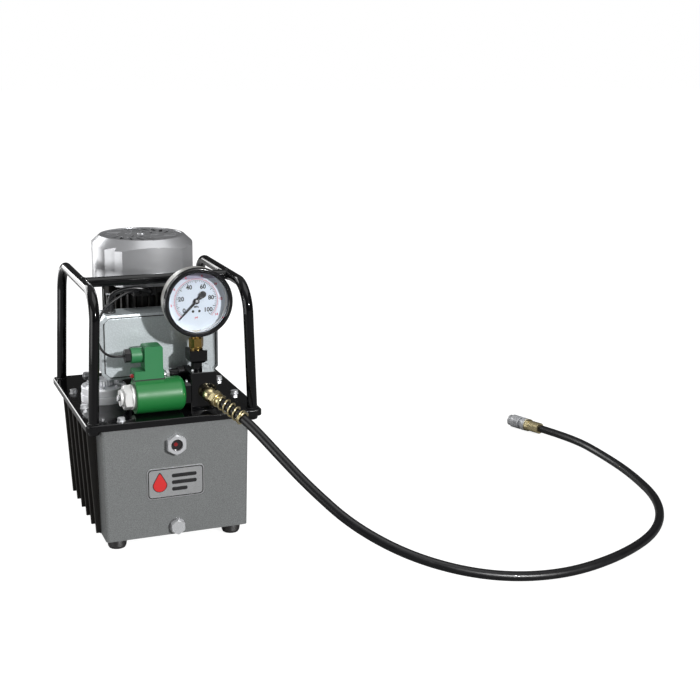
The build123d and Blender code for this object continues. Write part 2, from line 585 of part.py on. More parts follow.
# ---- valve, block, relief -----------------------------------------------------------------
def make_valve():
    x0, x1 = BLOCK_X
    body = block(x0, x1, *BLOCK_Y, PLATE_TOP, BLOCK_TOP)
    body = chamfer(body.edges().filter_by(Axis.Z), 1.2)
    body = chamfer(body.faces().sort_by(Axis.Z)[-1].edges(), 0.8)
    for x in TUBE_X:
        body -= upright(3.5, PLATE_TOP, PLATE_TOP + 22, x, TUBE_END_Y)
    body -= lying_y(6, BLOCK_Y[0], BLOCK_Y[0] + 18, ELBOW[0], ELBOW[2])
    body -= lying_x(8, x0, x0 + 16, RELIEF_Y, RELIEF_Z)
    save("manifold_block", body)

    seat = block(COIL_X[1] + 0.4, x0, COIL_Y - 15, COIL_Y + 15, COIL_Z - 18, COIL_Z + 18)
    seat = chamfer(seat.edges().filter_by(Axis.X), 4)
    seat -= lying_x(CORE_R, COIL_X[1], x0 + 1, COIL_Y, COIL_Z)
    save("valve_body", seat)

    coil = lying_x(COIL_R, *COIL_X, COIL_Y, COIL_Z)
    rims = coil.edges().filter_by(GeomType.CIRCLE).sort_by(Axis.X)
    coil = fillet(rims[-1], 9)
    coil = fillet(coil.edges().filter_by(GeomType.CIRCLE).sort_by(Axis.X)[0], 1.5)
    coil += block(-57, -12, COIL_Y - 13, COIL_Y + 13, COIL_Z, COIL_Z + COIL_PAD)
    coil -= lying_x(CORE_R, COIL_X[0] - 2, COIL_X[1] + 1, COIL_Y, COIL_Z)
    save("solenoid_coil", coil)

    tube = lying_x(CORE_R, COIL_X[0], x0, COIL_Y, COIL_Z)
    tube -= lying_x(PLUNGER_R + 0.05, COIL_X[0] + 4, x0 - 3, COIL_Y, COIL_Z)
    tube -= lying_x(PIN_R + RUN, COIL_X[0] - 1, COIL_X[0] + 5, COIL_Y, COIL_Z)
    save("solenoid_tube", tube)
    save("solenoid_plunger", lying_x(PLUNGER_R, -45.5, 12, COIL_Y, COIL_Z))

    end = COIL_X[0]
    ring = lying_x(20, end - 5, end, COIL_Y, COIL_Z)
    nut = facing((end - 5, COIL_Y, COIL_Z), (-1, 0, 0)) * hexagon(35, 12)
    nut += lying_x(13, end - 22, end - 17, COIL_Y, COIL_Z)
    stack = ring + nut
    stack -= lying_x(PIN_R + RUN, end - 30, end + 1, COIL_Y, COIL_Z)
    stack -= lying_x(5.5, end - 23, end - 18, COIL_Y, COIL_Z)
    save("coil_nut", stack)
    pin = lying_x(PIN_R, end - 24, -49, COIL_Y, COIL_Z)
    pin += lying_x(4.5, end - 26, end - 22.5, COIL_Y, COIL_Z)
    save("override_pin", pin)
    low = COIL_Z + SEAL_TOP
    pad = block(-59, -11.5, COIL_Y - 14, COIL_Y + 14, low, low + 13)
    pad = fillet(pad.edges().filter_by(Axis.Z), 2)
    hood = block(-42, -13.5, COIL_Y - 14, COIL_Y + 14, low + 12, low + 51)
    hood = fillet(hood.edges().filter_by(Axis.Y), 3.5)
    plug = pad + hood + lying_x(12, -60.5, -40, COIL_CABLE[0][1], COIL_CABLE[0][2])
    save("solenoid_connector", plug)
    cap = lying_x(3.2, -64.5, -59, COIL_Y - 8, low + 6)
    save("coil_indicator", fillet(cap.edges().filter_by(GeomType.CIRCLE).sort_by(Axis.X)[0], 2))

    relief = lying_x(7.9, 6, x0 + 14, RELIEF_Y, RELIEF_Z)
    relief += facing((x0, RELIEF_Y, RELIEF_Z), (-1, 0, 0)) * hexagon(19, 10)
    relief -= lying_x(4.05, 5, x0 + 10, RELIEF_Y, RELIEF_Z)
    save("relief_valve", relief)
    screw = lying_x(4, -2, x0 + 4, RELIEF_Y, RELIEF_Z)
    screw += facing((5.5, RELIEF_Y, RELIEF_Z), (-1, 0, 0)) * hexagon(13, 4.5)
    screw -= block(-3, 0, RELIEF_Y - 5, RELIEF_Y + 5, RELIEF_Z - 0.8, RELIEF_Z + 0.8)
    save("relief_adjuster", screw)


# ---- gauge --------------------------------------------------------------------------------
def ring_y(outer, inner, y0, y1):
    """A ring about the gauge's axis."""
    return (lying_y(outer, y0, y1, GAUGE_X, GAUGE_Z)
            - lying_y(inner, y0 - 1, y1 + 1, GAUGE_X, GAUGE_Z))


def make_gauge():
    back = GAUGE_FRONT + BEZEL_DEEP
    bezel = lying_y(BEZEL_R, GAUGE_FRONT, back, GAUGE_X, GAUGE_Z)
    bezel = fillet(bezel.edges().filter_by(GeomType.CIRCLE).sort_by(Axis.Y)[0], 3)
    bezel -= lying_y(47.2, GAUGE_FRONT - 1, back + 1, GAUGE_X, GAUGE_Z)
    save("gauge_bezel", bezel)
    save("gauge_window", lying_y(47.1, GAUGE_FRONT + 3.5, GAUGE_FRONT + 6.5, GAUGE_X, GAUGE_Z))
    case = lying_y(CASE_R, back, CASE_BACK, GAUGE_X, GAUGE_Z)
    case = fillet(case.edges().filter_by(GeomType.CIRCLE).sort_by(Axis.Y)[-1], 5)
    case -= lying_y(47.2, back - 1, CASE_BACK - 2, GAUGE_X, GAUGE_Z)
    case -= upright(8.05, GAUGE_Z - 60, GAUGE_Z - 40, GAUGE_X, STEM_Y)
    save("gauge_case", case)
    dial = lying_y(47, DIAL_Y, DIAL_Y + 1, GAUGE_X, GAUGE_Z)
    save("gauge_dial", dial - lying_y(2.1, DIAL_Y - 1, DIAL_Y + 2, GAUGE_X, GAUGE_Z))
    # the pointer rests at zero, half way between left and straight down
    outline = Polygon((-2.4, 17), (2.4, 17), (3.2, 9), (1.0, 4), (0.9, -24), (0.15, -41),
                      (-0.15, -41), (-0.9, -24), (-1.0, 4), (-3.2, 9), align=None)
    blade = Rot(0, 45, 0) * Rot(90, 0, 0) * extrude(outline, 0.8)
    needle = Pos(GAUGE_X, DIAL_Y - 2.2, GAUGE_Z) * blade
    needle += lying_y(3.6, DIAL_Y - 4.2, DIAL_Y - 1.8, GAUGE_X, GAUGE_Z)
    needle += lying_y(2, DIAL_Y - 1.9, DIAL_Y + 5, GAUGE_X, GAUGE_Z)
    save("gauge_needle", needle)
    # the curved tube that straightens under pressure, seen from behind the dial
    works = lying_y(6, DIAL_Y + 6, CASE_BACK - 2, GAUGE_X, GAUGE_Z)
    works += block(GAUGE_X - 4, GAUGE_X + 4, DIAL_Y + 6, CASE_BACK - 2, GAUGE_Z - 47, GAUGE_Z)
    works += ring_y(34, 30, DIAL_Y + 6, CASE_BACK - 2) - block(
        GAUGE_X + 4, 200, -200, 0, GAUGE_Z - 60, GAUGE_Z + 10)
    hex_low = 306
    stem = upright(8, hex_low, GAUGE_Z - 47, GAUGE_X, STEM_Y)
    stem += Pos(GAUGE_X, STEM_Y, hex_low + 4) * extrude(RegularPolygon(10.3, 6, major_radius=False), 14)
    stem += upright(10.2, hex_low, hex_low + 3, GAUGE_X, STEM_Y)
    save("gauge_stem", stem, works)
    swivel = block(GAUGE_X - 14, GAUGE_X + 14, STEM_Y - 14, STEM_Y + 14, 285, hex_low)
    swivel = chamfer(swivel.faces().sort_by(Axis.Z)[0].edges(), 4)
    swivel += upright(9, BLOCK_TOP, 287, GAUGE_X, STEM_Y)
    save("gauge_adapter", swivel)


# ---- filler -------------------------------------------------------------------------------
def make_filler():
    place = (FLANGE_X, FLANGE_Y)
    lower = upright(FLANGE_R, PLATE_TOP, 222, *place)
    lower = fillet(lower.edges().filter_by(GeomType.CIRCLE).sort_by(Axis.Z)[-1], 1)
    upper = upright(FLANGE_R - 0.8, 223, FLANGE_TOP, *place)
    upper = fillet(upper.edges().filter_by(GeomType.CIRCLE).sort_by(Axis.Z)[-1], 1.5)
    upper += upright(FLANGE_R - 3, 221, 224, *place)
    flange = lower + upper
    flange += upright(19.9, PLATE_LOW - 20, PLATE_TOP, *place)
    flange -= upright(14, PLATE_LOW - 21, 235, *place)
    for x, y in filler_screw_places():
        flange -= upright(2.5 + SLACK, FLANGE_TOP - 19, FLANGE_TOP + 1, x, y)
    save("filler_flange", flange)
    cap = upright(13, 226, FLANGE_TOP, *place) + upright(17, FLANGE_TOP, 244, *place)
    cap = fillet(cap.edges().filter_by(GeomType.CIRCLE).sort_by(Axis.Z)[-1], 2)
    for i in range(18):
        angle = math.radians(20 * i)
        grip = (FLANGE_X + 17.6 * math.cos(angle), FLANGE_Y + 17.6 * math.sin(angle))
        cap -= upright(1.6, 235, 245, *grip)
    save("filler_cap", Pos(0, 0, 0.3) * cap)


# ---- hose ---------------------------------------------------------------------------------
def make_hose():
    middle = Vector(*ELBOW)
    start = Vector(*HOSE_ROUTE[0])
    out = (Vector(*HOSE_ROUTE[1]) - start).normalized()
    ball = Pos(middle) * Sphere(ELBOW_R)
    elbow = ball + lying_y(9, ELBOW[1], BLOCK_Y[0], ELBOW[0], ELBOW[2])
    elbow += lying_y(5.95, BLOCK_Y[0] - 1, BLOCK_Y[0] + 14, ELBOW[0], ELBOW[2])
    save("outlet_elbow", elbow)
    away = facing(start - out * FERRULE_END, out)
    ferrule = away * (Pos(0, 0, 8) * hexagon(22, 8) + upright(8.6, 8, FERRULE_END))
    ferrule -= ball
    path = cord_path("hose", HOSE_ROUTE)
    save("hose", tube_along(path, HOSE_R))
    guard_path = FilletPolyline(*HOSE_ROUTE[:4], radius=bend_radii(HOSE_ROUTE)[:2])
    guard_end = guard_path.trim(0, 52 / guard_path.length)
    save("hose_spring_guard", tube_along(guard_end, GUARD_R, HOSE_R))

    last = Vector(*HOSE_ROUTE[-1])
    aim = (last - Vector(*HOSE_ROUTE[-2])).normalized()
    end = facing(last, aim)
    crimp = end * (upright(11, 0, 26) + Pos(0, 0, 26) * hexagon(22, 9))
    save("hose_ferrules", ferrule, crimp)
    body = upright(9.2, 35, 78) + upright(12.9, 35, 44) + upright(11, 73, 78)
    body -= upright(6, 56, 78)
    save("coupler_body", end * body)
    sleeve = upright(COUPLER_R, 50, 70) - upright(9.3, 49, 71)
    for z in (53, 56, 59):
        sleeve -= upright(COUPLER_R + 1, z, z + 1.2) - upright(COUPLER_R - 0.8, z - 1, z + 2)
    save("coupler_sleeve", end * sleeve)


def make_cables():
    save("coil_cable", tube_along(cord_path("coil cable", COIL_CABLE), COIL_CABLE_R))
    save("motor_cable", tube_along(cord_path("motor cable", MOTOR_CABLE), MOTOR_CABLE_R))


def main():
    os.makedirs("parts", exist_ok=True)
    for make in (make_tank, make_fins, make_feet, make_tank_fittings, make_plate, make_frame_bolts,
                 make_handles, make_motor, make_cowl, make_pump, make_control_box, make_glands,
                 make_valve, make_gauge, make_filler, make_hose, make_cables):
        make()


main()
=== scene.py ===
"""The looks of an electric hydraulic power unit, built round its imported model.

Metres, in the model's own frame: X to the right along the front, Y to the back, Z up, floor at zero.
The model's pieces keep their shapes and get finishes here. Cords, the dial's print, the pointer, the
badge's print and the small round pieces are new surfaces, each worked out on a grid by a formula.
"""

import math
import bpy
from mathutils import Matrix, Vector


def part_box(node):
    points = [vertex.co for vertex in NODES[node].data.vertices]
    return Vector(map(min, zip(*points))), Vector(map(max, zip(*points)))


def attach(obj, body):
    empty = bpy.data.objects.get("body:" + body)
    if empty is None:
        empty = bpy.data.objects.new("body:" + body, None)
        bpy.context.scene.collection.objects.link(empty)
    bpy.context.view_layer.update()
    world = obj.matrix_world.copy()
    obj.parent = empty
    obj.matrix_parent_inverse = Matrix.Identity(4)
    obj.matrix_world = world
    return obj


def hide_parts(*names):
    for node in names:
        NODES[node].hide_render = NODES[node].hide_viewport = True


bl_info = {
    "name": "Hydraulic power unit",
    "version": (1, 0, 0),
    "blender": (4, 5, 0),
    "location": "3D View > Sidebar > Power unit",
    "description": "Finishes, cords, dial and small pieces of an electric hydraulic power unit",
    "category": "Object",
}

import bmesh
import bpy
import numpy as np
from bpy.props import FloatProperty, FloatVectorProperty, IntProperty, PointerProperty
from mathutils import Matrix, Vector

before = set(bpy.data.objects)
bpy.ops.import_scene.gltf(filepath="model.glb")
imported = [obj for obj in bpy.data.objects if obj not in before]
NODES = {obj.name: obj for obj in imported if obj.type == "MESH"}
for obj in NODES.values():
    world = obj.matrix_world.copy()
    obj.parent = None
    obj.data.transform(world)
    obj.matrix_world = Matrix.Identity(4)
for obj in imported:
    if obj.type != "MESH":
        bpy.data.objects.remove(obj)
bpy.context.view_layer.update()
UNIT = "power_unit"


# ---- places, from the frame ------------------------------------------------------------------
def middle(node):
    """The middle of a node's box."""
    low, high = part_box(node)
    return (low + high) / 2


def half_width(node):
    """Half a node's size along X, which is the radius of a round piece."""
    low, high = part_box(node)
    return (high.x - low.x) / 2


GAUGE = middle("gauge_bezel")
BEZEL_R = half_width("gauge_bezel")
BEZEL_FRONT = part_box("gauge_bezel")[0].y
BEZEL_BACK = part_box("gauge_bezel")[1].y
WINDOW_R = half_width("gauge_window")
DIAL_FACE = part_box("gauge_dial")[0].y
BADGE = middle("name_badge")
BADGE_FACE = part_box("name_badge")[0].y
BADGE_HALF = (half_width("name_badge"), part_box("name_badge")[1].z - BADGE.z)
SIGHT = middle("sight_glass_lens")
SIGHT_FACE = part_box("sight_glass_lens")[0].y
CAP = middle("filler_cap")
CAP_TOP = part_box("filler_cap")[1].z
CAP_R = half_width("filler_cap")
FLANGE_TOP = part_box("filler_flange")[1].z
FEET_LOW, FEET_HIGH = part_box("rubber_feet")
PLATE_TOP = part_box("top_plate")[1].z
COWL = middle("fan_cowl")
COWL_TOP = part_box("fan_cowl")[1].z
BAR_LOW, BAR_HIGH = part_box("cross_bar")
TUBE_R = (BAR_HIGH.z - BAR_LOW.z) / 2
VALVE = middle("valve_body")
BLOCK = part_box("manifold_block")
VALVE_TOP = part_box("valve_body")[1].z
PLATE_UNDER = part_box("top_plate")[0].z

# The gauge's scales run clockwise from the lower left over three quarters of a turn.
SCALE_START, SCALE_SWEEP = math.radians(-135), math.radians(270)
CAPITAL = 0.7    # a capital's height as a share of the font's size

# Cord routes, the control points of smooth lines. They are the model's own routes.
HOSE_ROUTE = [
    (0.068, -0.152, 0.231), (0.085, -0.180, 0.220), (0.104, -0.214, 0.201), (0.128, -0.256, 0.170),
    (0.160, -0.306, 0.131), (0.208, -0.366, 0.084), (0.284, -0.423, 0.045), (0.386, -0.464, 0.019),
    (0.505, -0.473, 0.0075), (0.632, -0.443, 0.0075), (0.748, -0.377, 0.0075), (0.828, -0.269, 0.0075),
    (0.862, -0.137, 0.0075), (0.872, -0.032, 0.0075), (0.864, 0.063, 0.013), (0.834, 0.143, 0.013),
]
COIL_CABLE = [
    (-0.070, -0.103, 0.304), (-0.080, -0.103, 0.304), (-0.091, -0.101, 0.305), (-0.100, -0.096, 0.310),
    (-0.106, -0.090, 0.321), (-0.107, -0.083, 0.337), (-0.103, -0.074, 0.353), (-0.093, -0.062, 0.367),
    (-0.079, -0.054, 0.377), (-0.062, -0.048, 0.386), (-0.046, -0.043, 0.391), (-0.035, -0.038, 0.391),
    (-0.028, -0.031, 0.388), (-0.025, -0.023, 0.385),
]
MOTOR_CABLE = [
    (-0.076, -0.033, 0.371), (-0.076, -0.033, 0.379), (-0.069, -0.033, 0.388), (-0.054, -0.033, 0.393),
    (-0.038, -0.034, 0.395), (-0.022, -0.034, 0.393), (-0.013, -0.031, 0.389), (-0.009, -0.023, 0.385),
]


# ---- settings --------------------------------------------------------------------------------
def colour(name, description, value):
    return FloatVectorProperty(name=name, description=description, default=value, size=3, min=0, max=1,
                               subtype="COLOR")


def length(name, description, value):
    return FloatProperty(name=name, description=description, default=value, min=0, unit="LENGTH",
                         precision=4)


def strength(name, description, value):
    return FloatProperty(name=name, description=description, default=value, min=0)


def power(name, description, value):
    return FloatProperty(name=name, description=description, default=value, unit="POWER")


class PaintSettings(bpy.types.PropertyGroup):
    tank: colour("Tank", "Hammertone enamel of the tank", (0.235, 0.245, 0.245))
    box: colour("Control box", "Pale hammertone of the control box", (0.56, 0.61, 0.63))
    cowl: colour("Cowl", "Silver paint of the fan cowl", (0.46, 0.465, 0.48))
    black: colour("Black enamel", "Plate, handles, block and valve", (0.0025, 0.0025, 0.003))
    coil: colour("Coil", "Moulded cover of the solenoid", (0.008, 0.155, 0.031))
    plug: colour("Plug", "Plug on the solenoid", (0.022, 0.175, 0.060))
    gold: colour("Yellow zinc", "Plating of the hose fittings", (0.84, 0.72, 0.42))
    brass: colour("Brass", "Gauge stem", (0.42, 0.28, 0.09))
    steel: colour("Bright zinc", "Bolts, nuts and plugs", (0.66, 0.67, 0.69))
    red: colour("Red", "Badge drop, outer scale and lamp", (0.55, 0.02, 0.02))


class HoseSettings(bpy.types.PropertyGroup):
    hose: length("Hose diameter", "Outside of the pressure hose", 0.015)
    guard_span: length("Guard length", "Length of the wire coil", 0.055)
    guard_back: length("Guard start", "How far the coil reaches back over the ferrule", 0.0075)
    guard_reach: length("Guard radius", "From the hose's middle to the wire's", 0.0100)
    guard_wire: length("Guard wire", "Diameter of the coil's wire", 0.0031)
    guard_turns: FloatProperty(name="Guard turns", description="Turns of the wire coil", default=5.2,
                               min=1)
    coil_cable: length("Coil cable", "Diameter of the coil's cable", 0.004)
    motor_cable: length("Motor cable", "Diameter of the motor's lead", 0.007)


class DialSettings(bpy.types.PropertyGroup):
    full_scale: IntProperty(name="Full scale", description="Inner scale's last number", default=100)
    step: IntProperty(name="Number step", description="Between the inner scale's numbers", default=20)
    number_radius: length("Number radius", "From the pivot to the numbers' middles", 0.0243)
    number_height: length("Number height", "Height of the inner scale's numbers", 0.0066)
    scale_radius: length("Scale radius", "Outside of the inner scale's marks", 0.0325)
    liquid: length("Liquid level", "Height of the filling above the pivot", 0.0345)


class StageSettings(bpy.types.PropertyGroup):
    floor: colour("Floor", "Plain pale floor", (0.25, 0.25, 0.25))
    glow: strength("Floor glow", "Light the floor gives the camera, as a lit table", 0.90)
    key: strength("Key light", "Sun strength of the main light", 3.3)
    side: power("Side light", "Soft light from the left", 8.5)
    rear: power("Rear light", "Soft light from behind, on the left", 7.0)
    fill: power("Back fill", "Wide light on the unit's back", 35.0)
    top: power("Top light", "Soft light from above", 16.0)
    sky: strength("Sky", "Strength of the room's light overhead", 0.34)
    yaw: FloatProperty(name="Turn", description="Camera's turn from +Y", default=math.radians(22.87),
                       subtype="ANGLE")
    pitch: FloatProperty(name="Tilt", description="Camera's tilt down", default=math.radians(14.41),
                         subtype="ANGLE")
    roll: FloatProperty(name="Roll", description="Camera's roll", default=math.radians(1.02),
                        subtype="ANGLE")
    lens: FloatProperty(name="Lens", description="Focal length in millimetres", default=63.85,
                        unit="CAMERA")
    eye: FloatVectorProperty(name="Camera", description="Camera's place", subtype="XYZ", unit="LENGTH",
                             default=(-0.46632, -1.9334, 0.79298))


class PowerUnitSettings(bpy.types.PropertyGroup):
    paint: PointerProperty(type=PaintSettings)
    hose: PointerProperty(type=HoseSettings)
    dial: PointerProperty(type=DialSettings)
    stage: PointerProperty(type=StageSettings)


# ---- surfaces --------------------------------------------------------------------------------
def grid(points, close_rows=False, close_columns=True):
    """Quads between neighbours of a rows x columns x 3 array. A closed side joins last to first."""
    rows, columns = points.shape[:2]
    index = np.arange(rows * columns).reshape(rows, columns)
    if close_rows:
        index = np.concatenate([index, index[:1]])
    if close_columns:
        index = np.concatenate([index, index[:, :1]], axis=1)
    faces = np.stack([index[:-1, :-1], index[1:, :-1], index[1:, 1:], index[:-1, 1:]], axis=-1)
    return points.reshape(-1, 3), faces.reshape(-1, 4).tolist()


def unit(vectors):
    """Each vector brought to a length of one."""
    return vectors / np.linalg.norm(vectors, axis=-1, keepdims=True)


def turned(profile, origin, axis=(0, 0, 1), sides=64, closed=False, ripple=None):
    """A profile of (out, along) pairs carried round an axis: the place at angle a is the origin plus
    along times the axis plus out times (cos a, sin a) in the plane across it. Ripple(out, a) is
    added to out."""
    profile = np.array(profile, float)
    axis = unit(np.array(axis, float))
    side = unit(np.cross(axis, (0.31, 0.42, 0.85) if abs(axis[2]) < 0.9 else (1.0, 0.0, 0.0)))
    other = np.cross(axis, side)
    angle = np.linspace(0, 2 * np.pi, sides, endpoint=False)
    spokes = np.cos(angle)[:, None] * side + np.sin(angle)[:, None] * other
    out = np.repeat(profile[:, :1], sides, axis=1)
    if ripple:
        out = out + ripple(out, angle[None, :])
    points = np.array(origin) + profile[:, 1, None, None] * axis + out[:, :, None] * spokes[None]
    return grid(points, close_rows=closed)


def carried(path, radius, sides=12, closed=False, reference=(0, 0, 1)):
    """A circle carried along a path: each place is the path's point plus radius times (cos a, sin a)
    across its direction, with end discs unless the path closes on itself."""
    path = np.array(path, float)
    if closed:
        direction = unit(np.roll(path, -1, axis=0) - np.roll(path, 1, axis=0))
    else:
        direction = unit(np.gradient(path, axis=0))
    side = unit(np.cross(direction, reference))
    other = np.cross(direction, side)
    angle = np.linspace(0, 2 * np.pi, sides, endpoint=False)[None, :, None]
    reach = np.broadcast_to(np.asarray(radius, float).reshape(-1, 1, 1), (len(path), 1, 1))
    points = path[:, None] + reach * (np.cos(angle) * side[:, None] + np.sin(angle) * other[:, None])
    if closed:
        return grid(points, close_rows=True)
    ends = [np.repeat(path[i][None, None], sides, axis=1) for i in (0, -1)]
    return grid(np.concatenate([ends[0], points, ends[1]]))


def slab(outline, centre, near, far):
    """A flat piece that faces the front. The outline's (x, z) pairs about its centre, at y = near and
    y = far, with both faces drawn in to the middle."""
    outline = np.array(outline, float)
    flat = np.stack([outline[:, 0] + centre[0], np.zeros(len(outline)), outline[:, 1] + centre[1]], -1)
    core = np.broadcast_to(np.array([centre[0], 0.0, centre[1]]), flat.shape)
    depth = np.array([near, near, far, far])[:, None, None] * np.array([0, 1, 0])
    return grid(np.stack([core, flat, flat, core]) + depth)


def hoop(outer, inner, centre, near, far):
    """A flat ring that faces the front, between two outlines with as many points."""
    rings = np.stack([outer, outer, inner, inner]).astype(float)
    depth = np.broadcast_to(np.array([near, far, far, near])[:, None], rings.shape[:2])
    points = np.stack([rings[..., 0] + centre[0], depth, rings[..., 1] + centre[1]], -1)
    return grid(points, close_rows=True)


def circle(radius, count=64, start=0.0, sweep=2 * np.pi):
    """Points at even angles, clockwise from straight up."""
    angle = start + np.linspace(0, sweep, count, endpoint=sweep < 6.28)
    return np.stack([radius * np.sin(angle), radius * np.cos(angle)], -1)


def rounded(half_x, half_z, radius, steps=8):
    """A rectangle whose corners are quarter circles."""
    quarter = np.linspace(0, np.pi / 2, steps)
    corners = []
    for i, (sx, sz) in enumerate(((1, 1), (-1, 1), (-1, -1), (1, -1))):
        angle = quarter + i * np.pi / 2
        corners.append(np.stack([sx * (half_x - radius) + radius * np.cos(angle),
                                 sz * (half_z - radius) + radius * np.sin(angle)], -1))
    return np.concatenate(corners)


def lettering(text, height, x, z, near, depth, turn=0.0):
    """A word or number as flat solid letters that face the front, centred on (x, z)."""
    source = bpy.data.curves.new("lettering", "FONT")
    source.body, source.size = text, height / CAPITAL
    source.align_x, source.align_y = "CENTER", "CENTER"
    source.extrude, source.resolution_u = depth / 2, 3
    source.offset = 0.05 * height    # thickens the strokes
    holder = bpy.data.objects.new("lettering", source)
    bpy.context.scene.collection.objects.link(holder)
    bpy.context.view_layer.update()
    evaluated = holder.evaluated_get(bpy.context.evaluated_depsgraph_get())
    mesh = bpy.data.meshes.new_from_object(evaluated)
    flat = np.zeros(len(mesh.vertices) * 3)
    mesh.vertices.foreach_get("co", flat)
    flat = flat.reshape(-1, 3)
    faces = [list(face.vertices) for face in mesh.polygons]
    bpy.data.objects.remove(holder)
    bpy.data.meshes.remove(mesh)
    across = flat[:, 0] * math.cos(turn) + flat[:, 1] * math.sin(turn)
    upward = flat[:, 1] * math.cos(turn) - flat[:, 0] * math.sin(turn)
    return np.stack([x + across, near + depth / 2 - flat[:, 2], z + upward], -1), faces


def piece(name, shapes, finish, body=UNIT, smooth=35):
    """One mesh object of several shapes. Doubles are merged, so seams and poles close, and the
    normals are worked out again, outwards."""
    points, faces, count = [], [], 0
    for where, sides in shapes:
        points.append(where)
        faces += [[i + count for i in side] for side in sides]
        count += len(where)
    mesh = bpy.data.meshes.new(name)
    mesh.from_pydata(np.concatenate(points).tolist(), [], faces)
    work = bmesh.new()
    work.from_mesh(mesh)
    bmesh.ops.remove_doubles(work, verts=work.verts, dist=2e-6)
    bmesh.ops.dissolve_degenerate(work, edges=work.edges, dist=1e-6)
    bmesh.ops.recalc_face_normals(work, faces=work.faces)
    work.to_mesh(mesh)
    work.free()
    mesh.shade_smooth()
    mesh.set_sharp_from_angle(angle=math.radians(smooth))
    mesh.materials.append(finish)
    made = bpy.data.objects.new(name, mesh)
    bpy.context.scene.collection.objects.link(made)
    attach(made, body)
    return made


# ---- shader groups ---------------------------------------------------------------------------
def add(tree, kind, values=None, **settings):
    """A shader node with its settings. A value that is a socket is linked, any other is set."""
    node = tree.nodes.new("ShaderNode" + kind)
    for key, value in settings.items():
        setattr(node, key, value)
    for key, value in (values or {}).items():
        if isinstance(value, bpy.types.NodeSocket):
            tree.links.new(value, node.inputs[key])
        else:
            node.inputs[key].default_value = value
    return node


def start_group(name, inputs, outputs):
    """A node group with named sockets. Returns it, what comes into it and what it has to put out."""
    group = bpy.data.node_groups.new(name, "ShaderNodeTree")
    for label, kind in inputs:
        group.interface.new_socket(name=label, in_out="INPUT", socket_type="NodeSocket" + kind)
    for label, kind in outputs:
        group.interface.new_socket(name=label, in_out="OUTPUT", socket_type="NodeSocket" + kind)
    source = group.nodes.new("NodeGroupInput")
    sink = group.nodes.new("NodeGroupOutput")
    return group, source.outputs, sink.inputs


def scaled(tree, value, low, high, bottom, top):
    """A value from low..high brought to bottom..top, and kept there."""
    return add(tree, "MapRange", {"Value": value, "From Min": low, "From Max": high, "To Min": bottom,
                                  "To Max": top}).outputs["Result"]


def product(tree, first, second, operation="MULTIPLY"):
    """Two values multiplied, or put together by another operation."""
    return add(tree, "Math", {0: first, 1: second}, operation=operation).outputs[0]


def blend(tree, share, first, second):
    """One colour turned into another by a share of 0 to 1."""
    return add(tree, "Mix", {"Factor": share, 6: first, 7: second}, data_type="RGBA").outputs[2]


def hammered_group():
    """Hammertone: smooth cells with fine grain over them. Cells are darker in their hollows."""
    group, given, out = start_group(
        "hammered enamel",
        [("Vector", "Vector"), ("Colour", "Color"), ("Hollow", "Color"), ("Scale", "Float"),
         ("Relief", "Float"), ("Rough low", "Float"), ("Rough high", "Float")],
        [("Colour", "Color"), ("Roughness", "Float"), ("Normal", "Vector")])
    cells = add(group, "TexVoronoi", {"Vector": given["Vector"], "Scale": given["Scale"],
                                      "Randomness": 1.0}, feature="SMOOTH_F1")
    fine_scale = product(group, given["Scale"], 2.2)
    fine = add(group, "TexNoise", {"Vector": given["Vector"], "Scale": fine_scale, "Detail": 3.0})
    broad = add(group, "TexNoise", {"Vector": given["Vector"], "Scale": 26.0, "Detail": 3.0})
    cell = scaled(group, cells.outputs["Distance"], 0.08, 0.6, 0.0, 1.0)
    grain = product(group, fine.outputs["Fac"], 0.55)
    height = product(group, cell, grain, "ADD")
    shade = scaled(group, height, 0.35, 1.15, 0.0, 1.0)
    paint = blend(group, shade, given["Colour"], given["Hollow"])
    cloud = scaled(group, broad.outputs["Fac"], 0.3, 0.7, 0.0, 0.22)
    mottled = blend(group, cloud, paint, given["Hollow"])
    bump = add(group, "Bump", {"Strength": 1.0, "Distance": given["Relief"], "Height": height})
    rough = add(group, "Mix", {"Factor": shade, 2: given["Rough low"], 3: given["Rough high"]})
    group.links.new(mottled, out["Colour"])
    group.links.new(rough.outputs[0], out["Roughness"])
    group.links.new(bump.outputs["Normal"], out["Normal"])
    return group


def handled_group():
    """A handled surface: cloudy gloss, faint smears and a little dust on what faces up."""
    group, given, out = start_group(
        "handled surface",
        [("Vector", "Vector"), ("Colour", "Color"), ("Gloss", "Float"), ("Spread", "Float"),
         ("Dust", "Float")],
        [("Colour", "Color"), ("Roughness", "Float")])
    smear = add(group, "TexNoise", {"Vector": given["Vector"], "Scale": 34.0, "Detail": 5.0,
                                    "Distortion": 0.6})
    speck = add(group, "TexNoise", {"Vector": given["Vector"], "Scale": 900.0, "Detail": 2.0})
    facing = add(group, "SeparateXYZ", {0: add(group, "NewGeometry").outputs["Normal"]})
    upward = scaled(group, facing.outputs["Z"], 0.55, 1.0, 0.0, 1.0)
    specks = scaled(group, speck.outputs["Fac"], 0.48, 0.72, 0.0, 1.0)
    settled = product(group, product(group, upward, specks), given["Dust"])
    dusty = blend(group, settled, given["Colour"], (0.45, 0.43, 0.40, 1))
    cloud = scaled(group, smear.outputs["Fac"], 0.32, 0.68, -0.5, 0.5)
    gloss = product(group, product(group, cloud, given["Spread"]), given["Gloss"], "ADD")
    rough = product(group, gloss, product(group, settled, 0.6), "ADD")
    group.links.new(dusty, out["Colour"])
    group.links.new(rough, out["Roughness"])
    return group


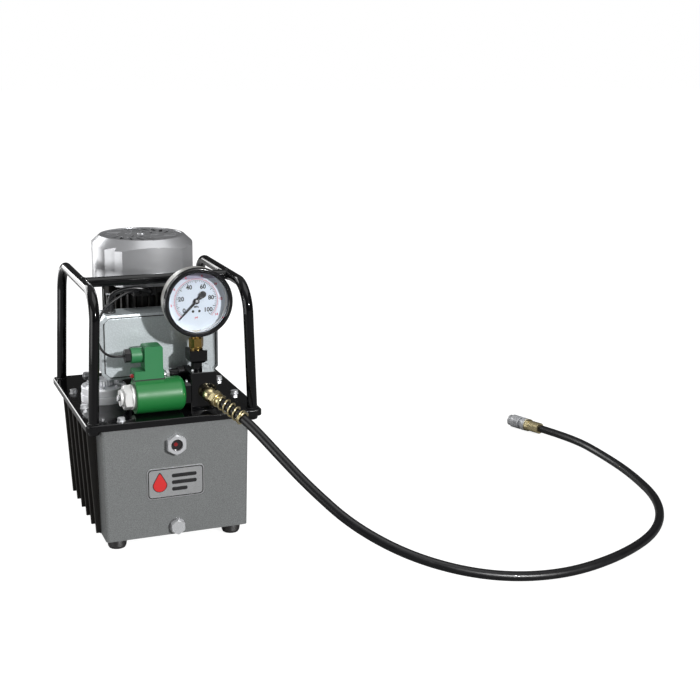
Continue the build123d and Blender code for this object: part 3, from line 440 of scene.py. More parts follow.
def machined_group():
    """Tool marks: noise drawn out long and thin by the mapping that feeds it."""
    group, given, out = start_group(
        "machined marks",
        [("Vector", "Vector"), ("Colour", "Color"), ("Scale", "Float"), ("Relief", "Float"),
         ("Rough low", "Float"), ("Rough high", "Float")],
        [("Colour", "Color"), ("Roughness", "Float"), ("Normal", "Vector")])
    marks = add(group, "TexNoise", {"Vector": given["Vector"], "Scale": given["Scale"], "Detail": 4.0})
    line = scaled(group, marks.outputs["Fac"], 0.3, 0.7, 0.0, 1.0)
    dull = blend(group, 0.72, (0, 0, 0, 1), given["Colour"])
    tone = blend(group, line, dull, given["Colour"])
    rough = add(group, "Mix", {"Factor": line, 2: given["Rough low"], 3: given["Rough high"]})
    bump = add(group, "Bump", {"Strength": 1.0, "Distance": given["Relief"], "Height": line})
    group.links.new(tone, out["Colour"])
    group.links.new(rough.outputs[0], out["Roughness"])
    group.links.new(bump.outputs["Normal"], out["Normal"])
    return group


def moulded_group():
    """Moulded plastic and rubber: a fine leathery grain."""
    group, given, out = start_group(
        "moulded grain", [("Vector", "Vector"), ("Scale", "Float"), ("Relief", "Float")],
        [("Normal", "Vector")])
    grain = add(group, "TexNoise", {"Vector": given["Vector"], "Scale": given["Scale"], "Detail": 3.0,
                                    "Roughness": 0.6})
    bump = add(group, "Bump", {"Strength": 1.0, "Distance": given["Relief"],
                               "Height": grain.outputs["Fac"]})
    group.links.new(bump.outputs["Normal"], out["Normal"])
    return group


GROUPS = {}


def shared(kind):
    """The shader group of that kind, built once."""
    makers = {"hammered": hammered_group, "handled": handled_group, "machined": machined_group,
              "moulded": moulded_group}
    if kind not in GROUPS:
        GROUPS[kind] = makers[kind]()
    return GROUPS[kind]


def place_group(tree, kind, values):
    """A shared group in a material, with its own values."""
    return add(tree, "Group", values, node_tree=shared(kind))


# ---- finishes --------------------------------------------------------------------------------
def rgb(value):
    """A colour with full alpha, as sockets take it."""
    return (*value, 1.0)


def blank(name, **values):
    """A material with a Principled shader. Returns it, its tree, the shader and Object coordinates."""
    made = bpy.data.materials.new(name)
    made.use_nodes = True
    tree = made.node_tree
    tree.nodes.clear()
    shader = add(tree, "BsdfPrincipled", {k.replace("_", " "): v for k, v in values.items()})
    add(tree, "OutputMaterial", {"Surface": shader.outputs[0]})
    return made, tree, shader, add(tree, "TexCoord").outputs["Object"]


def join(tree, source, shader, **links):
    """Links a group's outputs to the shader's inputs."""
    for target, label in links.items():
        tree.links.new(source.outputs[label], shader.inputs[target.replace("_", " ")])


def hammertone(name, tone, depth, scale, relief, rough, metal):
    """Metallic hammertone enamel under a thin clear coat."""
    made, tree, shader, where = blank(name, Metallic=metal, Coat_Weight=0.25, Coat_Roughness=0.12)
    hollow = tuple(depth * c for c in tone)
    group = place_group(tree, "hammered", {"Vector": where, "Colour": rgb(tone), "Hollow": rgb(hollow),
                                           "Scale": scale, "Relief": relief, "Rough low": rough[0],
                                           "Rough high": rough[1]})
    join(tree, group, shader, Base_Color="Colour", Roughness="Roughness", Normal="Normal")
    return made


def enamel(name, tone, gloss, spread=0.1, dust=0.12, coat=0.6, grain=None, metal=0.0, shine=0.5):
    """Plain sprayed enamel with orange peel."""
    made, tree, shader, where = blank(name, Metallic=metal, Coat_Weight=coat, Coat_Roughness=0.04,
                                      Specular_IOR_Level=shine)
    group = place_group(tree, "handled", {"Vector": where, "Colour": rgb(tone), "Gloss": gloss,
                                          "Spread": spread, "Dust": dust})
    peel = place_group(tree, "moulded", {"Vector": where, "Scale": grain[0] if grain else 260.0,
                                         "Relief": grain[1] if grain else 0.00004})
    join(tree, group, shader, Base_Color="Colour", Roughness="Roughness")
    join(tree, peel, shader, Normal="Normal")
    return made


def metal(name, tone, rough=(0.16, 0.34), stretch=(1, 1, 1), scale=420.0, relief=0.00002):
    """Plated or machined metal with tool marks drawn out across stretch."""
    made, tree, shader, where = blank(name, Metallic=1.0)
    drawn = add(tree, "Mapping", {"Vector": where, "Scale": stretch})
    group = place_group(tree, "machined", {"Vector": drawn.outputs[0], "Colour": rgb(tone),
                                           "Scale": scale, "Relief": relief, "Rough low": rough[0],
                                           "Rough high": rough[1]})
    join(tree, group, shader, Base_Color="Colour", Roughness="Roughness", Normal="Normal")
    return made


def moulded(name, tone, gloss, scale=1400.0, relief=0.00003, coat=0.0, spread=0.12, dust=0.1):
    """Moulded plastic or rubber."""
    return enamel(name, tone, gloss, spread, dust, coat, (scale, relief))


def clear_glass(name, tone, ior=1.5):
    """Clear glass that lets light through to what is behind it."""
    made, tree, shader, where = blank(name, Base_Color=rgb(tone), Roughness=0.02, IOR=ior,
                                      Transmission_Weight=1.0)
    grain = place_group(tree, "moulded", {"Vector": where, "Scale": 30.0, "Relief": 0.00001})
    join(tree, grain, shader, Normal="Normal")
    rays = add(tree, "LightPath")
    plain = product(tree, rays.outputs["Is Shadow Ray"], rays.outputs["Is Diffuse Ray"], "MAXIMUM")
    through = add(tree, "BsdfTransparent", {"Color": rgb(tone)})
    both = add(tree, "MixShader", {0: plain, 1: shader.outputs[0], 2: through.outputs[0]})
    output = next(n for n in tree.nodes if n.type == "OUTPUT_MATERIAL")
    tree.links.new(both.outputs[0], output.inputs["Surface"])
    return made


FINISHES = {}


def make_finishes(paint):
    """Every finish by name, from the settings' colours."""
    black = paint.black[:]
    FINISHES.update({
        "tank": hammertone("tank hammertone", paint.tank[:], 0.60, 900.0, 0.00012, (0.36, 0.5), 0.3),
        "box": hammertone("box hammertone", paint.box[:], 0.84, 420.0, 0.00012, (0.3, 0.42), 0.3),
        "cowl": enamel("cowl silver", paint.cowl[:], 0.32, 0.06, 0.02, 0.2, (900.0, 0.000006), 0.72),
        "gloss black": enamel("gloss black enamel", black, 0.10, 0.08, 0.01, 0.12, shine=0.34),
        "satin black": enamel("satin black paint", (0.014, 0.012, 0.010), 0.42, 0.16, 0.06, 0.1,
                              (700.0, 0.00006)),
        "zinc": enamel("bright zinc", paint.steel[:], 0.30, 0.1, 0.0, 0.0, (300.0, 0.00001), 0.6),
        "nut": enamel("coil nut", (0.74, 0.74, 0.73), 0.42, 0.1, 0.0, 0.0, (500.0, 0.00002), 0.25),
        "tool steel": metal("ground steel", (0.42, 0.42, 0.43), (0.2, 0.35), (1, 1, 8)),
        # light grey cast aluminium, its tone raised near white as painted light, since the filler
        # flange sits in the coil's shade
        "aluminium": enamel("cast aluminium", (0.92, 0.93, 0.96), 0.36, 0.1, 0.0, 0.0,
                            (600.0, 0.00004), 0.15),
        "case": enamel("polished case", (0.76, 0.75, 0.72), 0.30, 0.05, 0.0, 0.2,
                       (200.0, 0.000004), 0.6),
        "gold": metal("yellow zinc", paint.gold[:], (0.2, 0.34), (1, 1, 1), 900.0, 0.00001),
        "brass": metal("machined brass", paint.brass[:], (0.16, 0.28), (1, 1, 6), 900.0, 0.00001),
        "copper": metal("varnished copper", (0.55, 0.22, 0.09), (0.3, 0.45), (1, 1, 20), 300.0),
        "iron": hammertone("cast iron", (0.11, 0.11, 0.11), 0.7, 700.0, 0.0002, (0.5, 0.65), 0.7),
        "rubber": moulded("black rubber", (0.018, 0.017, 0.017), 0.55, 900.0, 0.00005),
        "hose": moulded("hose rubber", (0.002, 0.002, 0.003), 0.36, 420.0, 0.00005, 0.05, 0.1, 0.01),
        "cable": moulded("cable sheath", (0.004, 0.004, 0.005), 0.32, 900.0, 0.00002, 0.1, 0.1, 0.03),
        "black plastic": moulded("black plastic", (0.008, 0.008, 0.009), 0.36, 1200.0, 0.00003, 0.1),
        "bezel": moulded("bezel black", (0.003, 0.003, 0.004), 0.14, 600.0, 0.00001, 0.3, 0.05, 0.0),
        "coil": moulded("coil green", paint.coil[:], 0.42, 240.0, 0.00003, 0.05, 0.06, 0.02),
        "plug": moulded("plug green", paint.plug[:], 0.46, 900.0, 0.00004, 0.0, 0.1, 0.06),
        "window": clear_glass("gauge glass", (1.0, 1.0, 1.0), 1.3),
        "sight": enamel("dark glass", (0.006, 0.004, 0.005), 0.06, 0.03, 0.0, 1.0, (80.0, 0.00001)),
        "black ink": enamel("black print", (0.008, 0.008, 0.009), 0.4, 0.05, 0.0, 0.0),
        "red ink": enamel("red print", (0.50, 0.05, 0.08), 0.45, 0.05, 0.0, 0.0),
        "drop": enamel("red badge enamel", paint.red[:], 0.3, 0.06, 0.02, 0.5),
        "lamp": moulded("dark red glass", (0.20, 0.006, 0.008), 0.12, 500.0, 0.00001, 0.5),
        "badge": metal("brushed badge", (0.78, 0.79, 0.80), (0.26, 0.4), (1, 1, 30), 160.0),
        # dark sheets at the control box cover: its gasket line, with painted shade in its gap and in a
        # groove
        "seam": enamel("dark gasket and painted gap shade", (0.02, 0.02, 0.02), 0.6, 0.1, 0.0, 0.0),
    })


def dial_finish(level):
    """White enamel with painted shade: a little darker just under the level of the liquid that fills
    the case, and tinted lilac above that level, where the air over the liquid is painted in.
    """
    made, tree, shader, where = blank("dial enamel", Coat_Weight=0.0)
    place = add(tree, "SeparateXYZ", {0: where})
    # painted shade: a sharp step to a dark lilac above the liquid's level, and a soft darkening over
    # the last 12 mm below it
    above = scaled(tree, place.outputs["Z"], level - 0.0006, level + 0.0006, 0.0, 1.0)
    meniscus_painted_shade = scaled(tree, place.outputs["Z"], level - 0.012, level, 0.0, 0.25)
    soft = blend(tree, meniscus_painted_shade, (0.60, 0.67, 0.76, 1), (0.42, 0.43, 0.55, 1))
    tone = blend(tree, above, soft, (0.27, 0.26, 0.36, 1))
    group = place_group(tree, "handled", {"Vector": where, "Colour": tone, "Gloss": 0.4,
                                          "Spread": 0.06, "Dust": 0.0})
    join(tree, group, shader, Base_Color="Colour", Roughness="Roughness")
    return made


def dress(finish, *names):
    """Gives nodes of the model a finish."""
    for name in names:
        node = NODES[name]
        if not node.material_slots:
            node.data.materials.append(None)
        for place in node.material_slots:
            place.link = "OBJECT"
            place.material = FINISHES[finish]


# ---- cords -----------------------------------------------------------------------------------
def cord_line(name, route, diameter, finish):
    """A cord on one smooth line whose control points are its route."""
    line = bpy.data.curves.new(name, "CURVE")
    line.dimensions = "3D"
    spline = line.splines.new("NURBS")
    spline.points.add(len(route) - 1)
    spline.points.foreach_set("co", [v for point in route for v in (*point, 1.0)])
    spline.order_u = 3
    spline.use_endpoint_u = True
    line.resolution_u = 16
    line.bevel_depth = diameter / 2
    line.bevel_resolution = 8
    line.use_fill_caps = True
    line.materials.append(FINISHES[finish])
    made = bpy.data.objects.new(name, line)
    bpy.context.scene.collection.objects.link(made)
    return made


def centreline(cord):
    """The points that a cord's smooth line passes, read from a copy with no thickness."""
    bare = cord.data.copy()
    bare.bevel_depth = 0
    holder = bpy.data.objects.new("centreline", bare)
    bpy.context.scene.collection.objects.link(holder)
    bpy.context.view_layer.update()
    mesh = bpy.data.meshes.new_from_object(holder.evaluated_get(bpy.context.evaluated_depsgraph_get()))
    points = np.zeros(len(mesh.vertices) * 3)
    mesh.vertices.foreach_get("co", points)
    bpy.data.objects.remove(holder)
    bpy.data.meshes.remove(mesh)
    return points.reshape(-1, 3)


def travelled(points):
    """How far along the line each point is."""
    steps = np.linalg.norm(np.diff(points, axis=0), axis=1)
    return np.concatenate([[0.0], np.cumsum(steps)])


# ---- operators -------------------------------------------------------------------------------
class POWERUNIT_OT_finishes(bpy.types.Operator):
    """Makes every finish and gives it to the model's own pieces"""
    bl_idname = "power_unit.finishes"
    bl_label = "Finishes"

    def execute(self, context):
        settings = context.scene.power_unit
        make_finishes(settings.paint)
        FINISHES["dial"] = dial_finish(GAUGE.z + settings.dial.liquid)
        dress("tank", "tank_body")
        dress("satin black", "tank_fins", "motor_housing", "end_shields")
        dress("gloss black", "top_plate", "left_handle", "right_handle", "cross_bar", "manifold_block",
              "valve_body", "relief_valve", "gauge_adapter")
        dress("cowl", "fan_cowl")
        dress("box", "control_box_body", "control_box_cover")
        dress("zinc", "bolts_and_screws", "sight_glass_nut", "drain_plug", "relief_adjuster",
              "coupler_body", "coupler_sleeve", "override_pin")
        dress("nut", "coil_nut")
        dress("tool steel", "rotor_shaft", "rotor_core", "stator_core", "motor_bearings",
              "solenoid_tube", "solenoid_plunger", "pump_plungers", "drive_coupling", "oil_tubes",
              "drain_washer")
        dress("aluminium", "filler_flange", "suction_strainer")
        dress("badge", "name_badge")
        dress("copper", "stator_windings")
        dress("iron", "pump_body")
        dress("rubber", "gaskets")
        dress("black plastic", "cable_glands", "cooling_fan", "box_electrics")
        dress("coil", "solenoid_coil")
        dress("plug", "solenoid_connector")
        dress("lamp", "coil_indicator")
        dress("case", "gauge_case")
        dress("window", "gauge_window")
        dress("dial", "gauge_dial")
        dress("brass", "gauge_stem")
        dress("gold", "outlet_elbow", "hose_ferrules")
        dress("sight", "sight_glass_lens")
        return {"FINISHED"}


class POWERUNIT_OT_hose(bpy.types.Operator):
    """The pressure hose on its route, with the wire coil that guards its first bend"""
    bl_idname = "power_unit.hose"
    bl_label = "Hose"

    def execute(self, context):
        settings = context.scene.power_unit.hose
        hose = cord_line("pressure_hose", HOSE_ROUTE, settings.hose, "hose")
        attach(hose, UNIT)
        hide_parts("hose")
        line = centreline(hose)
        guard = self.guard(line, settings)
        self.spare_key_shadow(hose, guard)
        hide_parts("hose_spring_guard")
        return {"FINISHED"}

    def spare_key_shadow(self, *pieces):
        """The key light passes the hose, which would lay a hard stripe over the tank's face."""
        passed = bpy.data.collections.new("passed by the key")
        for item in pieces:
            passed.objects.link(item)
        for item in passed.collection_objects:
            item.light_linking.link_state = "EXCLUDE"
        bpy.data.objects["key"].light_linking.blocker_collection = passed

    def guard(self, line, settings):
        """A wire on a helix: at share s of its span the wire is at angle 2 pi turns s about the hose.
        Its middle is drawn back in a straight line over the ferrule."""
        count = 640
        share = np.linspace(0, 1, count)
        far = travelled(line)
        wire_r = settings.guard_wire / 2
        place = share * settings.guard_span - settings.guard_back + wire_r
        centre = np.stack([np.interp(place, far, line[:, i]) for i in range(3)], -1)
        centre += np.minimum(place, 0)[:, None] * unit(line[1] - line[0])
        direction = unit(np.gradient(centre, axis=0))
        side = unit(np.cross(direction, (0, 0, 1)))
        other = np.cross(direction, side)
        angle = 2 * np.pi * settings.guard_turns * share
        reach = settings.guard_reach
        wire = centre + reach * (np.cos(angle)[:, None] * side + np.sin(angle)[:, None] * other)
        rings = [carried(wire, wire_r, 10, reference=direction.mean(axis=0))]
        for i in (0, -1):
            turn = np.linspace(0, 2 * np.pi, 72, endpoint=False)[:, None]
            ring = centre[i] + reach * (np.cos(turn) * side[i] + np.sin(turn) * other[i])
            rings.append(carried(ring, wire_r, 10, closed=True, reference=direction[i]))
        return piece("hose_guard_coil", rings, FINISHES["gold"], smooth=60)


class POWERUNIT_OT_cables(bpy.types.Operator):
    """The coil's cable and the motor's lead, each drawn on its route in place of the model's own"""
    bl_idname = "power_unit.cables"
    bl_label = "Cables"

    def execute(self, context):
        settings = context.scene.power_unit.hose
        cables = (("coil_lead", COIL_CABLE, settings.coil_cable, "coil_cable", 0.190),
                  ("motor_lead", MOTOR_CABLE, settings.motor_cable, "motor_cable", 0.086))
        for name, route, diameter, node, long in cables:
            cable = cord_line(name, route, diameter, "cable")
            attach(cable, UNIT)
            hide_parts(node)
        return {"FINISHED"}


class POWERUNIT_OT_gauge(bpy.types.Operator):
    """The gauge's stepped bezel, the print on its dial and its pointer"""
    bl_idname = "power_unit.gauge"
    bl_label = "Gauge"

    def execute(self, context):
        settings = context.scene.power_unit.dial
        self.bezel()
        self.print_dial(settings)
        self.pointer()
        return {"FINISHED"}

    def bezel(self):
        """A closed profile turned about the gauge's axis: a rolled rim, a step and a sloping throat."""
        r, w, deep, curl = BEZEL_R, WINDOW_R, BEZEL_BACK - BEZEL_FRONT, 0.0026
        arc = np.linspace(0, np.pi / 2, 7)
        throat = [(w - 0.0002, 0.0034), (w - 0.0002, 0.0026), (w + 0.0014, 0.0018),
                  (w + 0.0022, 0.0004)]
        roll = [(r - curl + curl * math.sin(a), curl - curl * math.cos(a)) for a in arc]
        profile = throat + roll + [(r, deep), (w + 0.0001, deep), (w + 0.0001, 0.0034)]
        ring = turned(profile, (GAUGE.x, BEZEL_FRONT, GAUGE.z), (0, 1, 0), 128, closed=True)
        made = piece("bezel_ring", [ring], FINISHES["bezel"], smooth=40)
        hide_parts("gauge_bezel")

    def print_dial(self, settings):
        """Marks at even angles over the scale's sweep. The outer scale counts in units of which the
        inner scale's full length holds 14.5, in marks a fifth of a unit apart."""
        near, far = DIAL_FACE - 0.00012, DIAL_FACE + 0.00002
        units, marks = 14.5, 5

        def mark(share, low, high, width):
            angle = SCALE_START + SCALE_SWEEP * share
            along = np.array([math.sin(angle), math.cos(angle)])
            across = np.array([along[1], -along[0]]) * width / 2
            where = (GAUGE.x + along[0] * (low + high) / 2, GAUGE.z + along[1] * (low + high) / 2)
            half = along * (high - low) / 2
            corners = [half + across, half - across, -half - across, -half + across]
            return slab(corners, where, near, far)

        def number(text, share, radius, height):
            angle = SCALE_START + SCALE_SWEEP * share
            return lettering(text, height, GAUGE.x + radius * math.sin(angle),
                             GAUGE.z + radius * math.cos(angle), near, far - near)

        def band(outer, inner, count=160):
            """An arc as long as the scale, between two radii."""
            wide, narrow = [circle(r, count, SCALE_START, SCALE_SWEEP) + (GAUGE.x, GAUGE.z)
                            for r in (outer, inner)]
            edges = [np.insert(rim, 1, y, axis=1)
                     for rim, y in ((wide, near), (narrow, near), (narrow, far), (wide, far))]
            body, faces = grid(np.stack(edges), close_rows=True, close_columns=False)
            ends = [[i + k * count for k in range(4)] for i in (0, count - 1)]
            return body, faces + ends

        rim = settings.scale_radius
        parts = int(settings.full_scale / 2)
        black = [mark(i / parts, rim - (0.0044 if i % 5 == 0 else 0.0026), rim,
                      0.0010 if i % 5 == 0 else 0.0005) for i in range(parts + 1)]
        for value in range(0, settings.full_scale + 1, settings.step):
            share = value / settings.full_scale
            share += {0: 0.03, 1: -0.025}.get(share, 0)     # the end numbers stand clear of the pointer
            black.append(number(str(value), share, settings.number_radius, settings.number_height))
        black.append(band(rim + 0.0001, rim - 0.0003))
        for x in (-0.0052, 0.0050):
            black.append(slab(circle(0.0021, 28), (GAUGE.x + x, GAUGE.z - 0.0165), near, far))
        black.append(lettering("MPa", 0.0032, GAUGE.x, GAUGE.z - 0.0095, near, far - near))
        piece("dial_inner_scale", black, FINISHES["black ink"], smooth=20)
        red_low, red_high = rim + 0.0014, rim + 0.0036
        red = [mark(i / (units * marks), red_low, red_high + (0.0012 if i % 10 == 0 else 0), 0.00045)
               for i in range(int(units * marks) + 1)]
        red.append(band(red_low + 0.0005, red_low))
        for value in range(2, 15, 2):
            red.append(number(str(value), value / units, rim + 0.0075, 0.0036))
        red.append(lettering("psi", 0.0032, GAUGE.x, GAUGE.z - 0.0262, near, far - near))
        piece("dial_outer_scale", red, FINISHES["red ink"], smooth=20)

    def pointer(self):
        """A tapered blade whose tail widens to a round end, a hub ring and a bright pin. The blade is
        drawn pointing up, then turned to the scale's start at the lower left."""
        turn, tail_r, tail_low = SCALE_START, 0.0054, -0.0142
        tail = [(tail_r * math.sin(a), tail_low + tail_r * math.cos(a))
                for a in np.linspace(0.9, 5.38, 15)]
        outline = np.array([(0.0008, 0.0400), (0.0018, 0.004), (0.0020, -0.004)] + tail
                           + [(-0.0020, -0.004), (-0.0018, 0.004), (-0.0008, 0.0400)])
        spun = np.stack([outline[:, 0] * math.cos(turn) + outline[:, 1] * math.sin(turn),
                         outline[:, 1] * math.cos(turn) - outline[:, 0] * math.sin(turn)], -1)
        axis_low = DIAL_FACE - 0.0034
        blade = slab(spun, (GAUGE.x, GAUGE.z), axis_low + 0.0002, axis_low + 0.0009)
        hub = turned([(0.0026, -0.0006), (0.0042, -0.0006), (0.0047, 0.0), (0.0047, 0.0012),
                      (0.0026, 0.0012)], (GAUGE.x, axis_low, GAUGE.z), (0, 1, 0), 40, closed=True)
        made = piece("pointer_blade", [blade, hub], FINISHES["black ink"], "gauge_pointer")
        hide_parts("gauge_needle")
        pin = turned([(0, -0.0010), (0.0018, -0.0008), (0.0025, 0.0), (0.0025, 0.0010),
                      (0.0020, 0.0012), (0.0020, 0.0075), (0, 0.0075)],
                     (GAUGE.x, axis_low, GAUGE.z), (0, 1, 0), 32)
        piece("pointer_pin", [pin], FINISHES["zinc"], "gauge_pointer")


class POWERUNIT_OT_badge(bpy.types.Operator):
    """A plain badge: a dark border, a red drop and three bars"""
    bl_idname = "power_unit.badge"
    bl_label = "Badge"

    def execute(self, context):
        near, far = BADGE_FACE - 0.00022, BADGE_FACE + 0.0001
        wide, high = BADGE_HALF
        centre = (BADGE.x, BADGE.z)
        border = hoop(rounded(wide - 0.0012, high - 0.0012, 0.0062, 10),
                      rounded(wide - 0.0028, high - 0.0028, 0.0048, 10), centre, near, far)
        bars, apart = [], 0.0110
        longest, shortest = 0.0200, 0.0125
        for i, reach in enumerate((longest, longest, shortest)):
            where = (BADGE.x + 0.0135 - (longest - reach), BADGE.z + apart - apart * i)
            bars.append(slab(rounded(reach, 0.0031, 0.0026, 5), where, near, far))
        place, radius, edge = (BADGE.x - 0.0255, BADGE.z - 0.0025), 0.0105, 0.0012
        rim = slab(self.drop(radius + edge), place, near, far)
        piece("badge_lines", [border, *bars, rim], FINISHES["black ink"],
              smooth=20)
        drop = slab(self.drop(radius), place, near - 0.0003, far)
        piece("badge_drop", [drop], FINISHES["drop"], smooth=20)
        return {"FINISHED"}

    def drop(self, radius):
        """A circle whose upper half is drawn up to a point: the width falls as the sine of the angle
        while the height above the middle grows."""
        angle = np.linspace(0, 2 * np.pi, 72, endpoint=False)
        pull = np.clip(np.cos(angle), 0, 1) ** 1.6
        return radius * np.stack([np.sin(angle) * (1 - 0.45 * pull),
                                  np.cos(angle) * (1 + 0.75 * pull)], -1)


class POWERUNIT_OT_feet(bpy.types.Operator):
    """Four tapered rubber feet with ribs"""
    bl_idname = "power_unit.feet"
    bl_label = "Feet"

    def execute(self, context):
        top_r, low_r, high = 0.0165, 0.0138, FEET_HIGH.z
        profile = [(0.0042, 0.007), (0.0084, 0.007), (0.0084, 0.0), (0.0108, 0.0), (0.0128, 0.0008),
                   (0.0140, 0.0030)]
        ribs = np.linspace(0.004, high - 0.001, 19)
        slope = low_r + (top_r - low_r) * ribs / high
        profile += [(r - 0.0004 * (i % 2), z) for i, (r, z) in enumerate(zip(slope, ribs))]
        profile += [(top_r - 0.0004, high), (0.0042, high)]
        feet = []
        for x in (FEET_LOW.x + top_r, FEET_HIGH.x - top_r):
            for y in (FEET_LOW.y + top_r, FEET_HIGH.y - top_r):
                feet.append(turned(profile, (x, y, 0.0), sides=72, closed=True))
        made = piece("ribbed_feet", feet, FINISHES["rubber"], smooth=50)
        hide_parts("rubber_feet")
        return {"FINISHED"}


class POWERUNIT_OT_filler(bpy.types.Operator):
    """The fluted cap over the filler"""
    bl_idname = "power_unit.filler"
    bl_label = "Filler cap"

    def execute(self, context):
        def flutes(out, angle):
            """Twenty-four shallow grooves on the rim and none nearer the middle."""
            return np.where(out > CAP_R - 0.0015, -0.0005 * (1 + np.cos(24 * angle)), 0.0)

        top, low, neck_r = CAP_TOP, FLANGE_TOP + 0.0004, 0.0129
        profile = [(0, top - 0.0012), (0.0065, top - 0.0012), (0.0075, top), (CAP_R - 0.0030, top),
                   (CAP_R - 0.0014, top - 0.0006), (CAP_R - 0.0004, top - 0.0018),
                   (CAP_R - 0.0002, low + 0.001), (CAP_R - 0.0012, low), (neck_r, low),
                   (neck_r, low - 0.0072), (0, low - 0.0072)]
        cap = turned(profile, (CAP.x, CAP.y, 0.0), sides=144, ripple=flutes)
        made = piece("fluted_cap", [cap], FINISHES["aluminium"], "filler_cap", 30)
        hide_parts("filler_cap")
        return {"FINISHED"}


class POWERUNIT_OT_welds(bpy.types.Operator):
    """Weld beads at the posts' feet and at the ends of the cross bar"""
    bl_idname = "power_unit.welds"
    bl_label = "Welds"

    def execute(self, context):
        beads = []
        angle = np.linspace(0, 2 * np.pi, 144, endpoint=False)
        ripple = 0.0013 + 0.00022 * np.sin(24 * angle)
        for name in ("left_handle", "right_handle"):
            low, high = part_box(name)
            outward = -1 if low.x < 0 else 1
            edge = low.x if outward < 0 else high.x
            x = edge - outward * TUBE_R
            for y in (low.y + TUBE_R, high.y - TUBE_R):
                ring = np.stack([x + TUBE_R * np.cos(angle), y + TUBE_R * np.sin(angle),
                                 np.full(len(angle), PLATE_TOP + 0.0004)], -1)
                beads.append(carried(ring, ripple, 10, closed=True))
            top_x = (low.x + high.x) / 2 - outward * (high.x - low.x - 2 * TUBE_R) / 2
            bar_y, bar_z = (BAR_LOW.y + BAR_HIGH.y) / 2, (BAR_LOW.z + BAR_HIGH.z) / 2
            # the bar meets a tube of its own size, so its end is at the tube's middle less |cos| radii
            ring = np.stack([top_x - outward * TUBE_R * np.abs(np.cos(angle)),
                             bar_y + TUBE_R * np.cos(angle), bar_z + TUBE_R * np.sin(angle)], -1)
            beads.append(carried(ring, ripple, 10, closed=True, reference=(1, 0, 0)))
        piece("weld_beads", beads, FINISHES["gloss black"], smooth=60)
        return {"FINISHED"}


class POWERUNIT_OT_details(bpy.types.Operator):
    """Small pieces: sight glass float, bleed screws, bolt caps, control box seam with painted gap and
    groove shade, and cowl boss
    """
    bl_idname = "power_unit.details"
    bl_label = "Small pieces"

    def execute(self, context):
        glint = slab(circle(0.0032, 28), (SIGHT.x - 0.0012, SIGHT.z + 0.0004), SIGHT_FACE - 0.00015,
                     SIGHT_FACE + 0.0001)
        piece("sight_float", [glint], FINISHES["lamp"])
        dome = [(0, 0.0030), (0.0011, 0.0028), (0.0020, 0.0020), (0.0023, 0.0008), (0.0023, -0.0006),
                (0, -0.0006)]
        screws = [turned(dome, (VALVE.x, VALVE.y - 0.004, VALVE_TOP), sides=28),
                  turned(dome, (BLOCK[0].x + 0.006, VALVE.y - 0.002, BLOCK[1].z), sides=28)]
        piece("bleed_screws", screws, FINISHES["zinc"])
        cup = [(0, -0.0076), (0.0058, -0.0076), (0.0078, -0.0066), (0.0087, -0.0045), (0.0088, 0),
               (0, 0)]
        caps = []
        for name, out in (("left_handle", 1), ("right_handle", -1)):
            near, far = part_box(name)
            x = (near.x if out > 0 else far.x) + out * TUBE_R
            caps += [turned(cup, (x, y, PLATE_UNDER), sides=40)
                     for y in (near.y + TUBE_R, far.y - TUBE_R)]
        piece("post_bolt_caps", caps, FINISHES["gloss black"])
        low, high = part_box("control_box_cover")
        # painted shade: a dark ring just behind the cover's rim for its gasket and the shade in the
        # gap, and a dark line on its face for the shade in a groove that has no shape of its own
        seam = hoop(self.box_outline(low, high, -0.0002), self.box_outline(low, high, -0.0026),
                    (0, 0), high.y + 0.00005, high.y + 0.0017)
        painted_groove_shade = hoop(self.box_outline(low, high, -0.0036), self.box_outline(low, high, -0.0051),
                      (0, 0), low.y + 0.00015, low.y + 0.0016)
        piece("cover_seam_and_painted_gap_shade", [seam, painted_groove_shade], FINISHES["seam"], smooth=20)
        boss = [(0, 0.0022), (0.0035, 0.0020), (0.0055, 0.0012), (0.0062, 0.0), (0.0062, -0.0010),
                (0, -0.0010)]
        recess = COWL_TOP - 0.0008
        piece("cowl_boss", [turned(boss, (0.0, COWL.y, recess), sides=48)], FINISHES["cowl"])
        return {"FINISHED"}

    def box_outline(self, low, high, out):
        """The cover's eight-sided outline, grown outwards by a distance."""
        x0, x1, z0, z1, cut = low.x - out, high.x + out, low.z - out, high.z + out, 0.009
        return np.array([(x0 + cut, z0), (x1 - cut, z0), (x1, z0 + cut), (x1, z1 - cut),
                         (x1 - cut, z1), (x0 + cut, z1), (x0, z1 - cut), (x0, z0 + cut)])


